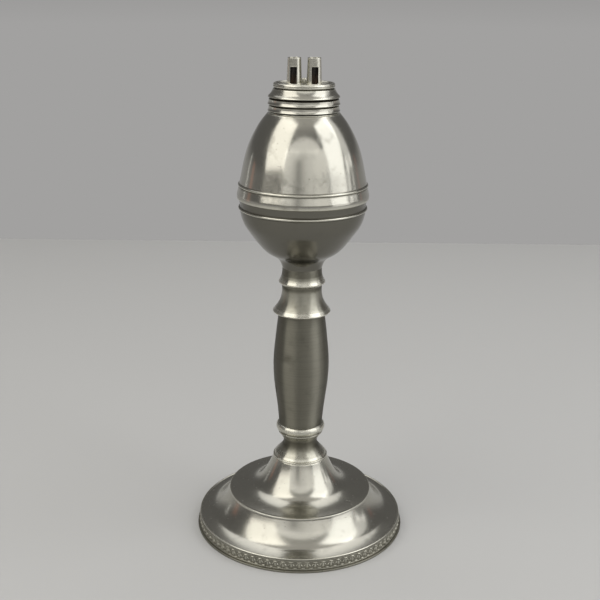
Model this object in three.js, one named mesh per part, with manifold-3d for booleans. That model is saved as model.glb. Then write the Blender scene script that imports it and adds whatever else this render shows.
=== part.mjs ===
// Whale oil lamp: a turned pewter stem and foot, an acorn font and a screw burner with two wick tubes.
// Millimetres, +Z up. The origin is the centre of the foot, on the table. -Y is the front, where the
// slots of the wick tubes face.
import * as THREE from 'three';
import { mergeVertices } from 'three/addons/utils/BufferGeometryUtils.js';
import Module from 'manifold-3d';

const wasm = await Module();
wasm.setup();

// Facets round each turned piece, and steps along its curves
const wideFacets = 36;
const stemFacets = 24;
const burnerFacets = 32;
const tubeFacets = 16;
const ventFacets = 8;
const footSteps = 10;
const fontSteps = 8;
const stemSteps = 9;
const smallSteps = 5;
const insideSteps = 5;
const beadSteps = 4;

// Fits
const socketClearance = 0.2; // round a tenon in its socket
const solderClearance = 0.15; // round a tube soldered through a plate
const wickClearance = 0.23; // round a wick at the top of its tube
const threadClearance = 0.3; // round the screw plug in its collar
const cutOverrun = 2.0; // how far a cutting solid runs past what it cuts

// Foot
const footBaseRadius = 48.0;
const footRimRadius = 46.9;
const footHeight = 33.8;
const footWall = 2.2;
const baseFilletHeight = 0.9;
const rimFilletHeight = 0.7;
const platformRadius = 32.9;
const platformHeight = 17.85;
const platformEdgeRadius = 0.6;
const footNeckRadius = 12.3;
const footSocketRadius = 9.4;
const footSocketDepth = 3.4;

// Leaf border let into the edge of the foot
const borderHeight = 4.6;
const borderThickness = 0.7;
const borderRecess = 0.1;
const leafPitch = 3.55;
const leafWidth = 2.5;
const leafHeight = 3.6;
const leafRelief = 0.45;

// Lower ring of the stem
const ringHeight = 16.8;
const ringBore = 5.6;
const ringLipReach = 0.15;
const ringLipHeight = 0.9;
const ringLipStep = 0.3;
const ringCoveRadius = 7.45;
const ringFilletRadius = 9.55;
const ringBeadRadius = 10.65;
const ringBeadHeight = 3.0;
const ringGrooveRadius = 9.3;
const ringFootTenon = 3.0;

// Vase of the stem
const vaseHeight = 53.0;
const vaseRadius = 12.6;
const vaseEndRadius = 10.05;
const vaseTopRadius = 10.2;
const vaseWall = 2.2;
const vaseSocketRadius = 7.8;
const vaseTenon = 2.6;

// Neck of the stem, with its two skirted rings
const neckHeight = 20.8;
const neckBore = 5.6;
const skirtRadius = 12.7;
const skirtEdge = 0.9;
const skirtUndercut = 0.45;
const neckWaistRadius = 8.8;
const neckRingRadius = 9.6;
const neckRingAt = 14.3;
const neckRingEdge = 0.7;
const neckTopRadius = 8.7;
const neckTenon = 3.0;

// Cotton wicks
const wickRadius = 2.05;
const wickBelowTop = 0.6;
const wickAboveFloor = 9.3;
const wickCrown = 0.5;

// Wick tubes
const tubeWall = 0.55;
const tubeTaper = 0.45;
const tubeGap = 1.74;
const tubeHeight = 10.9;
const tubeDrop = 22.0;
const tubeTopRadius = wickRadius + wickClearance + tubeWall;
const tubeBaseRadius = tubeTopRadius + tubeTaper;
const tubeSpacing = tubeBaseRadius * 2 + tubeGap;
const slotWidth = 2.8;
const slotHeight = 7.2;
const slotTurn = THREE.MathUtils.degToRad(7);

// Vent nipple between and behind the tubes
const ventRadius = 1.25;
const ventShank = 0.85;
const ventBore = 0.4;
const ventHeight = 2.0;
const ventBehind = 4.6;
const ventTail = 1.0;

// Screw plug, with room for the tubes inside it
const plugRoom = 1.77;
const plugWall = 1.8;
const plugLength = 8.0;
const plugBore = tubeSpacing / 2 + tubeBaseRadius + plugRoom;
const plugRadius = plugBore + plugWall;

// Threaded collar in the mouth of the font
const collarWall = 1.5;
const collarSeat = 1.0;
const collarFlangeReach = 0.6;
const collarBeadReach = 1.2;
const collarFlangeHeight = 0.5;
const collarBeadHeight = 2.2;
const collarGroove = 0.5;
const collarSpigotDepth = 3.6;
const collarBore = plugRadius + threadClearance;
const collarSpigotRadius = collarBore + collarWall;
const collarGrooveRadius = collarSpigotRadius + collarSeat;

// Leather washer under the burner
const washerThickness = 0.6;
const washerWidth = 2.6;
const washerRadius = collarBore + washerWidth;

// Flared skirt and top disc of the burner
const flareReach = 1.2;
const flareWall = 1.85;
const flareHeight = 3.9;
const flareEdge = 0.7;
const flareRadius = washerRadius + flareReach;
const flareTopRadius = plugRadius + socketClearance + flareWall;
const discInset = 0.2;
const discThickness = 1.1;
const discRimHeight = 1.0;
const discRimWidth = 1.4;
const discBevel = 0.4;
const discRadius = flareTopRadius - discInset;

// Font: the bowl below the girth and the acorn above it
const bowlHeight = 26.2;
const bowlRadius = 27.25;
const bowlWall = 1.8;
const bowlFloor = 6.0;
const bowlBeadHeight = 1.2;
const bowlBeadReach = 0.65;
const bandHeight = 3.5;
const bandReach = 0.35;
const bandHollow = 0.4;
const bandRadius = bowlRadius + bandReach;
const girthReach = 0.9;
const girthLipHeight = 2.2;
const girthLipEdge = 0.4;
const girthRadius = bandRadius + girthReach;
const acornHeight = 36.6;
const acornWall = 1.6;
const shoulderReach = 1.6;
const shoulderRadius = collarGrooveRadius + shoulderReach;
const lineHeight = 1.1;
const lineRelief = 0.3;
const lineAt = 5.6;

// Heights of the joints above the table
const ringZ = footHeight;
const vaseZ = ringZ + ringHeight;
const neckZ = vaseZ + vaseHeight;
const bowlZ = neckZ + neckHeight;
const acornZ = bowlZ + bowlHeight + bowlBeadHeight + bandHeight;
const collarZ = acornZ + acornHeight;
const collarHeight = collarFlangeHeight + 2 * (collarBeadHeight + collarGroove);
const washerZ = collarZ + collarHeight;
const flareZ = washerZ + washerThickness;
const discZ = flareZ + flareHeight;
const discTopZ = discZ + discThickness;
const tubeTopZ = discTopZ + tubeHeight;

// Finishes
const pewter = { color: 0xb9b6a8, roughness: 0.22, metalness: 1.0 };
const satinPewter = { color: 0xa9a79c, roughness: 0.38, metalness: 1.0 };
const darkPewter = { color: 0x77766e, roughness: 0.45, metalness: 1.0 };
const leather = { color: 0x3a2a1e, roughness: 0.8, metalness: 0.0 };
const cotton = { color: 0x8d8064, roughness: 0.95, metalness: 0.0 };

const lamp = new THREE.Group();

const at = (radius, height) => new THREE.Vector2(radius, height);

/** Points of a smooth curve through the given points. */
function curve(points, steps) {
  return new THREE.SplineCurve(points).getPoints(steps);
}

/** A table of [radius share, height share] laid between two corners of an outline. */
function between(start, end, shares) {
  return shares.map(([radiusShare, heightShare]) =>
    at(
      THREE.MathUtils.lerp(start.x, end.x, radiusShare),
      THREE.MathUtils.lerp(start.y, end.y, heightShare),
    ));
}

/** The same outline, moved in by the thickness of the wall. The outline runs upwards. */
function inset(points, wall) {
  return points.map((point, index) => {
    const before = points[Math.max(index - 1, 0)];
    const after = points[Math.min(index + 1, points.length - 1)];
    const along = after.clone().sub(before).normalize();
    return at(point.x - along.y * wall, point.y + along.x * wall);
  });
}

/** Half a round bead that stands out between two heights. */
function bead(valleyRadius, crownRadius, bottom, top) {
  return Array.from({ length: beadSteps + 1 }, (_, index) => {
    const angle = Math.PI * (index / beadSteps - 1 / 2);
    return at(
      valleyRadius + (crownRadius - valleyRadius) * Math.cos(angle),
      (bottom + top) / 2 + (top - bottom) / 2 * Math.sin(angle),
    );
  });
}

/** Merges shared corners and drops triangles that have no area, as those on the axis. */
function weld(geometry) {
  geometry.deleteAttribute('normal');
  geometry.deleteAttribute('uv');
  const merged = mergeVertices(geometry);
  const corners = merged.getIndex().array;
  const kept = [];
  for (let i = 0; i < corners.length; i += 3) {
    const [a, b, c] = corners.slice(i, i + 3);
    if (a !== b && b !== c && c !== a) kept.push(a, b, c);
  }
  merged.setIndex(kept);
  return merged;
}

/** Turns an outline round Z. The outline runs up its outer side and down its inner side. */
function turned(outline, facets) {
  const closed = [...outline, outline[0].clone()];
  const geometry = new THREE.LatheGeometry(closed, facets);
  geometry.rotateX(Math.PI / 2);
  return weld(geometry);
}

function toSolid(geometry) {
  return new wasm.Manifold(new wasm.Mesh({
    numProp: 3,
    vertProperties: new Float32Array(geometry.getAttribute('position').array),
    triVerts: new Uint32Array(geometry.getIndex().array),
  }));
}

function toGeometry(solid) {
  const mesh = solid.getMesh();
  const geometry = new THREE.BufferGeometry();
  geometry.setAttribute('position', new THREE.BufferAttribute(mesh.vertProperties, 3));
  geometry.setIndex(new THREE.BufferAttribute(mesh.triVerts, 1));
  return geometry;
}

/** A round rod or hole along Z, between two heights. */
function rod(radius, bottom, top, facets, x = 0, y = 0) {
  const geometry = new THREE.CylinderGeometry(radius, radius, top - bottom, facets);
  geometry.rotateX(Math.PI / 2);
  geometry.translate(x, y, (bottom + top) / 2);
  return weld(geometry);
}

function addPiece(name, geometry, finish, height = 0, x = 0, y = 0) {
  const mesh = new THREE.Mesh(geometry, new THREE.MeshStandardMaterial(finish));
  mesh.name = name;
  mesh.position.set(x, y, height);
  lamp.add(mesh);
}

// Foot: an edge that holds the border, a hollow step, a platform and a swept dome, open underneath

const rimZ = baseFilletHeight + borderHeight + rimFilletHeight;
const borderSeatRadius = footRimRadius - borderThickness;

const stepShares = [
  [0, 0], [0.036, 0.07], [0.121, 0.184], [0.25, 0.285], [0.407, 0.355],
  [0.579, 0.421], [0.743, 0.544], [0.864, 0.711], [0.95, 0.877], [1, 1],
];
const domeShares = [
  [0, 0], [0.17, 0.028], [0.35, 0.053], [0.51, 0.113], [0.65, 0.235],
  [0.775, 0.426], [0.879, 0.654], [0.956, 0.858], [1, 1],
];

function footOutline(steps) {
  const rim = at(footRimRadius, rimZ);
  const edgeLow = at(platformRadius, platformHeight - platformEdgeRadius);
  const edgeHigh = at(platformRadius - platformEdgeRadius, platformHeight);
  const neck = at(footNeckRadius, footHeight);
  return [
    ...curve(between(rim, edgeLow, stepShares), steps),
    ...curve(between(edgeHigh, neck, domeShares), steps),
  ];
}

function makeFoot() {
  const insideWall = inset(footOutline(insideSteps), footWall)
    .filter((point) => point.y < footHeight - footSocketDepth && point.x > footSocketRadius)
    .reverse();
  const outline = [
    at(footRimRadius - footWall, 0),
    at(footBaseRadius, 0),
    at(footBaseRadius, baseFilletHeight),
    at(borderSeatRadius, baseFilletHeight),
    at(borderSeatRadius, baseFilletHeight + borderHeight),
    at(footRimRadius, baseFilletHeight + borderHeight),
    ...footOutline(footSteps),
    at(footSocketRadius, footHeight),
    at(footSocketRadius, footHeight - footSocketDepth),
    ...insideWall,
  ];
  return turned(outline, wideFacets);
}

// Border: a strip in the edge of the foot, with a row of ridged leaves that stand out of it

function makeBorder() {
  const back = borderSeatRadius + borderRecess;
  const face = footRimRadius;
  const top = borderHeight - borderRecess;
  const facets = Math.round(Math.PI * face / leafPitch);
  const leafCount = facets * 2;
  const roundedBack = back / Math.cos(Math.PI / facets);
  const strip = turned([
    at(roundedBack, borderRecess),
    at(face, borderRecess),
    at(face, top),
    at(roundedBack, top),
  ], facets);
  const leaves = Array.from({ length: leafCount }, (_, index) => {
    const leaf = new THREE.OctahedronGeometry(1);
    leaf.scale(leafRelief, leafWidth / 2, leafHeight / 2);
    leaf.translate(face, 0, borderHeight / 2);
    leaf.rotateZ((index + 1 / 2) * 2 * Math.PI / leafCount - Math.PI / 2);
    return toSolid(weld(leaf));
  });
  return toGeometry(leaves.reduce((border, leaf) => border.add(leaf), toSolid(strip)));
}

addPiece('foot', makeFoot(), pewter);
addPiece('foot_border', makeBorder(), darkPewter, baseFilletHeight);

// Stem: the lower ring, the hollow vase and the ringed neck, each with a tenon into the next

const ringFlareShares = [
  [0, 0], [0.16, 0.13], [0.35, 0.26], [0.56, 0.4], [0.76, 0.56], [0.92, 0.76], [1, 1],
];
const ringRiseShares = [[0, 0], [0.2, 0.3], [0.55, 0.62], [0.85, 0.85], [1, 1]];

function makeStemRing() {
  const beadTop = ringHeight;
  const beadBottom = beadTop - ringBeadHeight;
  const flareBottom = ringLipHeight + ringLipStep;
  const filletTop = beadBottom - ringLipHeight;
  const flareFoot = at(footNeckRadius - ringLipHeight / 2, flareBottom);
  const coveWaist = at(ringCoveRadius, (flareBottom + beadBottom) / 2 + ringLipHeight);
  const filletEdge = at(ringFilletRadius, filletTop);
  const outline = [
    at(ringBore, -ringFootTenon),
    at(footSocketRadius - socketClearance, -ringFootTenon),
    at(footSocketRadius - socketClearance, 0),
    at(footNeckRadius, 0),
    at(footNeckRadius + ringLipReach, ringLipHeight / 2),
    at(footNeckRadius, ringLipHeight),
    ...curve(between(flareFoot, coveWaist, ringFlareShares), smallSteps),
    ...curve(between(coveWaist, filletEdge, ringRiseShares), smallSteps - 1).slice(1),
    at(ringFilletRadius, filletTop + ringLipHeight / 2),
    ...bead(ringGrooveRadius, ringBeadRadius, beadBottom, beadTop),
    at(vaseSocketRadius - socketClearance, beadTop),
    at(vaseSocketRadius - socketClearance, beadTop + vaseTenon),
    at(ringBore, beadTop + vaseTenon),
  ];
  return turned(outline, stemFacets);
}

const vaseLowerShares = [
  [0, 0], [0.12, 0.09], [0.34, 0.19], [0.6, 0.28], [0.84, 0.38], [0.97, 0.47], [1, 0.555],
];
const vaseUpperShares = [[0, 0], [0.09, 0.2], [0.33, 0.42], [0.56, 0.65], [0.82, 0.87], [1, 1]];

function vaseOutline(steps) {
  const lower = between(at(vaseEndRadius, 0), at(vaseRadius, vaseHeight), vaseLowerShares);
  const upper = between(lower.at(-1), at(vaseTopRadius, vaseHeight), vaseUpperShares);
  return curve([...lower, ...upper.slice(1)], steps);
}

function makeVase() {
  const inside = inset(vaseOutline(insideSteps), vaseWall).slice(1, -1).reverse();
  const outline = [
    at(vaseSocketRadius, 0),
    ...vaseOutline(stemSteps),
    at(vaseSocketRadius, vaseHeight),
    at(vaseSocketRadius, vaseHeight - vaseTenon - socketClearance),
    ...inside,
    at(vaseSocketRadius, vaseTenon + socketClearance),
  ];
  return turned(outline, stemFacets);
}

const skirtShares = [[0, 0], [0.32, 0.16], [0.6, 0.33], [0.83, 0.53], [0.96, 0.78], [1, 1]];

function makeNeck() {
  const skirtLip = at(skirtRadius - skirtEdge / 3, skirtUndercut + skirtEdge);
  const waist = at(neckWaistRadius, neckRingAt - neckRingEdge);
  const ringLip = at(neckRingRadius - neckRingEdge / 5, neckRingAt + neckRingEdge / 2);
  const neckTop = at(neckTopRadius, neckHeight);
  const outline = [
    at(neckBore, -vaseTenon),
    at(vaseSocketRadius - socketClearance, -vaseTenon),
    at(vaseSocketRadius - socketClearance, 0),
    at(vaseTopRadius, 0),
    at(skirtRadius - skirtUndercut / 2, skirtUndercut),
    at(skirtRadius, skirtUndercut + skirtEdge / 2),
    ...curve(between(skirtLip, waist, skirtShares), smallSteps + 1),
    at(neckRingRadius - neckRingEdge / 3, neckRingAt - neckRingEdge / 3),
    at(neckRingRadius, neckRingAt),
    ...curve(between(ringLip, neckTop, skirtShares), smallSteps - 1),
    at(neckBore, neckHeight),
  ];
  return turned(outline, stemFacets);
}

addPiece('stem_ring', makeStemRing(), pewter, ringZ);
addPiece('stem_vase', makeVase(), satinPewter, vaseZ);
addPiece('stem_neck', makeNeck(), pewter, neckZ);

// Font: a bowl with a closed floor, and an acorn shell that is soldered on at the girth

const bowlShares = [
  [0, 0], [0.019, 0.069], [0.07, 0.137], [0.161, 0.214], [0.285, 0.29], [0.516, 0.443],
  [0.735, 0.595], [0.895, 0.748], [0.965, 0.882], [1, 1],
];

function makeBowl() {
  const shape = between(at(neckTopRadius, 0), at(bowlRadius, bowlHeight), bowlShares);
  const beadTop = bowlHeight + bowlBeadHeight;
  const rim = beadTop + bandHeight;
  const inside = inset(curve(shape, fontSteps), bowlWall)
    .filter((point) => point.y > bowlFloor)
    .reverse();
  const outline = [
    at(0, -neckTenon),
    at(neckBore - socketClearance, -neckTenon),
    at(neckBore - socketClearance, 0),
    ...curve(shape, fontSteps),
    at(bowlRadius + bowlBeadReach, bowlHeight + bowlBeadHeight / 4),
    at(bowlRadius + bowlBeadReach, beadTop - bowlBeadHeight / 4),
    at(bandRadius - bandHollow, beadTop),
    at(bandRadius - bandHollow / 2, beadTop + bandHeight / 2),
    at(bandRadius, rim),
    at(bandRadius - bowlWall, rim),
    ...inside,
    at(0, bowlFloor),
  ];
  return turned(outline, wideFacets);
}

const acornShares = [
  [0, 0], [0.052, 0.1], [0.103, 0.205], [0.16, 0.32], [0.235, 0.44], [0.335, 0.56],
  [0.468, 0.68], [0.628, 0.8], [0.83, 0.925], [1, 1],
];

function acornOutline(steps) {
  const line = lineAt + lineHeight;
  const belowLine = at(girthRadius - lineHeight, line);
  return curve(between(belowLine, at(shoulderRadius, acornHeight), acornShares), steps);
}

function makeAcorn() {
  const mouthRadius = collarSpigotRadius + socketClearance;
  const lineRadius = girthRadius - lineHeight;
  const inside = inset(acornOutline(insideSteps), acornWall)
    .filter((point) => point.y < acornHeight - acornWall && point.x > mouthRadius)
    .reverse();
  const outline = [
    at(bandRadius - bowlWall, 0),
    at(girthRadius - girthLipEdge, 0),
    at(girthRadius, girthLipEdge),
    at(girthRadius, girthLipHeight),
    at(lineRadius + lineRelief / 2, lineAt),
    at(lineRadius + lineRelief * 2, lineAt + lineHeight / 4),
    at(lineRadius + lineRelief * 2, lineAt + lineHeight * 3 / 4),
    ...acornOutline(fontSteps),
    at(mouthRadius, acornHeight),
    at(mouthRadius, acornHeight - acornWall),
    ...inside,
  ];
  return turned(outline, wideFacets);
}

function makeCollar() {
  const flangeRadius = collarGrooveRadius + collarFlangeReach;
  const crownRadius = collarGrooveRadius + collarBeadReach;
  const lowBead = collarFlangeHeight + collarGroove;
  const highBead = lowBead + collarBeadHeight + collarGroove;
  const outline = [
    at(collarBore, -collarSpigotDepth),
    at(collarSpigotRadius, -collarSpigotDepth),
    at(collarSpigotRadius, 0),
    at(flangeRadius, 0),
    at(flangeRadius, collarFlangeHeight / 2),
    at(collarGrooveRadius, collarFlangeHeight),
    ...bead(collarGrooveRadius, crownRadius, lowBead, lowBead + collarBeadHeight),
    ...bead(collarGrooveRadius, crownRadius, highBead, highBead + collarBeadHeight),
    at(collarBore, collarHeight),
  ];
  return turned(outline, burnerFacets);
}

addPiece('font_lower', makeBowl(), pewter, bowlZ);
addPiece('font_upper', makeAcorn(), pewter, acornZ);
addPiece('font_collar', makeCollar(), pewter, collarZ);

// Burner: the leather washer, the screw plug, the flared skirt and the disc that carries the tubes

function makeWasher() {
  return turned([
    at(collarBore, 0),
    at(washerRadius, 0),
    at(washerRadius, washerThickness),
    at(collarBore, washerThickness),
  ], burnerFacets);
}

function makePlug() {
  const top = plugLength + flareHeight;
  return turned([
    at(plugBore, 0),
    at(plugRadius, 0),
    at(plugRadius, top),
    at(plugBore, top),
  ], burnerFacets);
}

const flareShares = [[0, 0], [0.35, 0.2], [0.65, 0.45], [0.88, 0.74], [1, 1]];

function makeFlare() {
  const seat = plugRadius + socketClearance;
  const bevel = discBevel / 2;
  const lip = at(flareRadius - flareEdge / 3, flareEdge);
  return turned([
    at(seat, 0),
    at(washerRadius, 0),
    at(flareRadius - flareEdge / 4, flareEdge / 4),
    at(flareRadius, flareEdge / 2),
    ...curve(between(lip, at(flareTopRadius, flareHeight - bevel), flareShares), smallSteps),
    at(flareTopRadius - discBevel, flareHeight),
    at(seat, flareHeight),
  ], burnerFacets);
}

function makeDisc() {
  const rimTop = discThickness + discRimHeight;
  const disc = turned([
    at(0, 0),
    at(discRadius - discBevel, 0),
    at(discRadius, discBevel),
    at(discRadius, rimTop / 2),
    at(discRadius - discBevel * 2, rimTop),
    at(discRadius - discRimWidth, rimTop),
    at(discRadius - discRimWidth - discBevel / 2, discThickness),
    at(0, discThickness),
  ], burnerFacets);
  const hole = tubeBaseRadius + solderClearance;
  const bottom = -cutOverrun;
  const top = discThickness + cutOverrun;
  const cuts = [
    rod(hole, bottom, top, tubeFacets, -tubeSpacing / 2),
    rod(hole, bottom, top, tubeFacets, tubeSpacing / 2),
    rod(ventShank + solderClearance, bottom, top, ventFacets, 0, ventBehind),
  ];
  return toGeometry(cuts.reduce((solid, cut) => solid.subtract(toSolid(cut)), toSolid(disc)));
}

addPiece('burner_washer', makeWasher(), leather, washerZ);
addPiece('burner_plug', makePlug(), pewter, flareZ - plugLength);
addPiece('burner_skirt', makeFlare(), pewter, flareZ);
addPiece('burner_disc', makeDisc(), pewter, discZ);

// Wick tubes: rolled taper tubes soldered through the disc, each with a slot for a wick pick

function makeTube(side) {
  const tube = turned([
    at(tubeBaseRadius - tubeWall, -tubeDrop),
    at(tubeBaseRadius, -tubeDrop),
    at(tubeBaseRadius, 0),
    at(tubeTopRadius, tubeHeight),
    at(tubeTopRadius - tubeWall, tubeHeight),
    at(tubeBaseRadius - tubeWall, 0),
  ], tubeFacets);
  const cutDepth = tubeBaseRadius + cutOverrun;
  const slot = new THREE.BoxGeometry(slotWidth, cutDepth, slotHeight);
  slot.translate(0, -cutDepth / 2, slotHeight / 2);
  slot.rotateZ(side * slotTurn);
  return toGeometry(toSolid(tube).subtract(toSolid(weld(slot))));
}

/** A wick from just above the font's floor to just below the top of its tube, in heights from the table. */
function makeWick() {
  const bottom = bowlZ + bowlFloor + wickAboveFloor;
  const top = tubeTopZ - wickBelowTop;
  return turned([
    at(0, bottom),
    at(wickRadius, bottom),
    at(wickRadius, top - wickCrown),
    at(wickRadius - wickCrown, top),
    at(0, top),
  ], tubeFacets);
}

for (const [name, side] of [['left', -1], ['right', 1]]) {
  const x = side * tubeSpacing / 2;
  addPiece(`wick_tube_${name}`, makeTube(side), pewter, discTopZ, x);
  addPiece(`wick_${name}`, makeWick(), cotton, 0, x);
}

function makeVent() {
  const springing = ventHeight - ventRadius;
  const crown = Array.from({ length: beadSteps }, (_, index) => {
    const angle = Math.PI / 2 * index / beadSteps;
    return at(ventRadius * Math.cos(angle), springing + ventRadius * Math.sin(angle));
  });
  return turned([
    at(ventBore, -discThickness - ventTail),
    at(ventShank, -discThickness - ventTail),
    at(ventShank, 0),
    at(ventRadius, 0),
    ...crown,
    at(ventBore, ventHeight),
  ], ventFacets);
}

addPiece('vent_nipple', makeVent(), pewter, discTopZ, 0, ventBehind);

export default lamp;
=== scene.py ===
"""Whale oil lamp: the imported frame, dressed with turned pewter, leather and cotton.

Sizes in the classes are in millimetres, heights are from the table, and MM turns both to metres.
"""

import logging
import math
from contextlib import contextmanager
from dataclasses import dataclass, field
from enum import Enum
from typing import Callable, Iterator, Optional, Sequence, Union

import bmesh
import bpy
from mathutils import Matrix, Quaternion, Vector
from mathutils.kdtree import KDTree


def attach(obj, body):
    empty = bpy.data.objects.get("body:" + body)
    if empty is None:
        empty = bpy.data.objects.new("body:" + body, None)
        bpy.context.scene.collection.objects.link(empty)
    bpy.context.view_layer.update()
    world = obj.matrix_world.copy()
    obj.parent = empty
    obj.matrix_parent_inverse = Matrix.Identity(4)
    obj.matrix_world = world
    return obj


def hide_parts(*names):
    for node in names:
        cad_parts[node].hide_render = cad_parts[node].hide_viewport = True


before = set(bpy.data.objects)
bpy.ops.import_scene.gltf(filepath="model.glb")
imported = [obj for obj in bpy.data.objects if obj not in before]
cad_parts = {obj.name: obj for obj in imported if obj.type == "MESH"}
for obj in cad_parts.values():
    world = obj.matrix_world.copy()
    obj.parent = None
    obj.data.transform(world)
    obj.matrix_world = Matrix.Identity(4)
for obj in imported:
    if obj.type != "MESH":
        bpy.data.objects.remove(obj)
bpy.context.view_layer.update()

MM = 0.001
TAU = 2 * math.pi
MERGE_DISTANCE = 0.002 * MM
SMOOTH_ANGLE = math.radians(32)
UPRIGHT = (math.pi / 2, 0, 0)
PIXELS = 600

# Steps of a curve between two given points, and of a rounded corner
CURVE_STEPS = 12
FILLET_STEPS = 5
# Spacing, in millimetres, at which a curve's small waves are evened out
FINE_STEP = 0.15
# The most that a corner's rounding takes up of the stretch to its neighbour
FILLET_SHARE = 0.48

log = logging.getLogger("whale_oil_lamp")

Point = tuple[float, float]
Piece = bpy.types.Object
Tree = bpy.types.NodeTree
Socket = bpy.types.NodeSocket
Value = Union[float, tuple, Socket]


class Body(Enum):
    """The bodies of the frame that pieces ride on."""

    LAMP = "lamp"
    WASHER = "washer"
    BURNER = "burner"
    LEFT_WICK = "left_wick"
    RIGHT_WICK = "right_wick"


class Slot(Enum):
    """The record's material slots."""

    POLISHED = "polished_pewter"
    SATIN = "satin_pewter"
    BORDER = "border_pewter"
    LEATHER = "washer_leather"
    COTTON = "wick_cotton"


class Side(Enum):
    """The two wicks and their tubes, by the sign of their place along X."""

    LEFT = -1
    RIGHT = 1

    @property
    def word(self) -> str:
        """The side's name in the names of pieces and nodes."""
        return self.name.lower()


# Outlines


def laid_between(start: Point, end: Point, shares: Sequence[Point]) -> list[Point]:
    """Lays a table of shares between two corners.

    Args:
        start: Radius and height where the table's shares are 0.
        end: Radius and height where they are 1.
        shares: Shares of the way in radius and in height.

    Returns:
        The points of the table, as radius and height.
    """
    return [
        (start[0] + (end[0] - start[0]) * across, start[1] + (end[1] - start[1]) * up)
        for across, up in shares
    ]


def length_of(points: Sequence[Point]) -> float:
    """The length of a run of points."""
    return sum(math.dist(a, b) for a, b in zip(points, points[1:]))


def evenly(points: Sequence[Point], spacing: float) -> list[Point]:
    """Spaces points evenly along a run, and keeps its two ends.

    Args:
        points: The run.
        spacing: The longest step wanted.

    Returns:
        The evenly spaced points.
    """
    count = max(1, math.ceil(length_of(points) / spacing))
    step = length_of(points) / count
    spaced = [points[0]]
    walked = 0.0
    for a, b in zip(points, points[1:]):
        stretch = math.dist(a, b)
        while len(spaced) < count and walked + stretch >= step * len(spaced):
            share = (step * len(spaced) - walked) / stretch
            spaced.append((a[0] + (b[0] - a[0]) * share, a[1] + (b[1] - a[1]) * share))
        walked += stretch
    return spaced + [points[-1]]


def swept(points: Sequence[Point], spacing: float, ease: float) -> list[Point]:
    """A fair curve through the given points, as a scraper leaves it.

    Args:
        points: The points that it passes.
        spacing: Steps along the finished curve.
        ease: Length over which small waves are evened out.

    Returns:
        The points of the curve.
    """
    dense: list[Point] = []
    last = len(points) - 1
    for index in range(last):
        before, after = points[max(index - 1, 0)], points[min(index + 2, last)]
        a, b = points[index], points[index + 1]
        for step in range(CURVE_STEPS):
            t = step / CURVE_STEPS
            dense.append(
                tuple(
                    0.5
                    * (
                        2 * a[k]
                        + (b[k] - before[k]) * t
                        + (2 * before[k] - 5 * a[k] + 4 * b[k] - after[k]) * t**2
                        + (3 * a[k] - 3 * b[k] + after[k] - before[k]) * t**3
                    )
                    for k in (0, 1)
                )
            )
    curve = evenly(dense + [points[-1]], FINE_STEP)
    for _ in range(round(2 * (ease / FINE_STEP) ** 2)):
        inner = [
            ((a[0] + 2 * b[0] + c[0]) / 4, (a[1] + 2 * b[1] + c[1]) / 4)
            for a, b, c in zip(curve, curve[1:], curve[2:])
        ]
        curve = [curve[0], *inner, curve[-1]]
    return evenly(curve, spacing)


def half_round(
    valley: float, crown: float, bottom: float, top: float, steps: int = 12
) -> list[Point]:
    """Half a round bead that stands out between two heights.

    Args:
        valley: Radius of the turning at the bead's edges.
        crown: Radius at its crown.
        bottom: Lower edge.
        top: Upper edge.
        steps: Steps round it.

    Returns:
        The points from the lower edge to the upper one.
    """
    middle, half = (bottom + top) / 2, (top - bottom) / 2
    angles = [math.pi * (step / steps - 0.5) for step in range(steps + 1)]
    return [(valley + (crown - valley) * math.cos(a), middle + half * math.sin(a)) for a in angles]


class Outline:
    """The section of a turned piece, traced up its outer side and down its inner side."""

    def __init__(self, *corners: Sequence[float]) -> None:
        """Takes the section's corners.

        Args:
            *corners: Radius and height of each, and for a rounded one the length of each side
                that its rounding takes up.
        """
        self._points = [(*corner, 0.0)[:3] for corner in corners]

    def traced(self, closed: bool, longest: float) -> list[Point]:
        """The finished outline, with its corners rounded and long stretches divided.

        Args:
            closed: Whether the outline comes back to its start, off the axis.
            longest: The longest stretch left undivided.

        Returns:
            The points, without a repeat of the first one.
        """
        count = len(self._points)
        rounded: list[Point] = []
        for index, (radius, height, fillet) in enumerate(self._points):
            open_end = not closed and index in (0, count - 1)
            if fillet <= 0 or open_end:
                rounded.append((radius, height))
                continue
            here = Vector((radius, height))
            before = Vector(self._points[index - 1][:2]) - here
            after = Vector(self._points[(index + 1) % count][:2]) - here
            reach = min(fillet, before.length * FILLET_SHARE, after.length * FILLET_SHARE)
            start, end = here + before.normalized() * reach, here + after.normalized() * reach
            for step in range(FILLET_STEPS + 1):
                t = step / FILLET_STEPS
                rounded.append(tuple(start * (1 - t) ** 2 + here * (2 * t * (1 - t)) + end * t**2))
        stretches = list(zip(rounded, rounded[1:] + (rounded[:1] if closed else [])))
        divided: list[Point] = []
        for a, b in stretches:
            divided += evenly([a, b], longest)[:-1]
        return divided if closed else divided + rounded[-1:]


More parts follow.
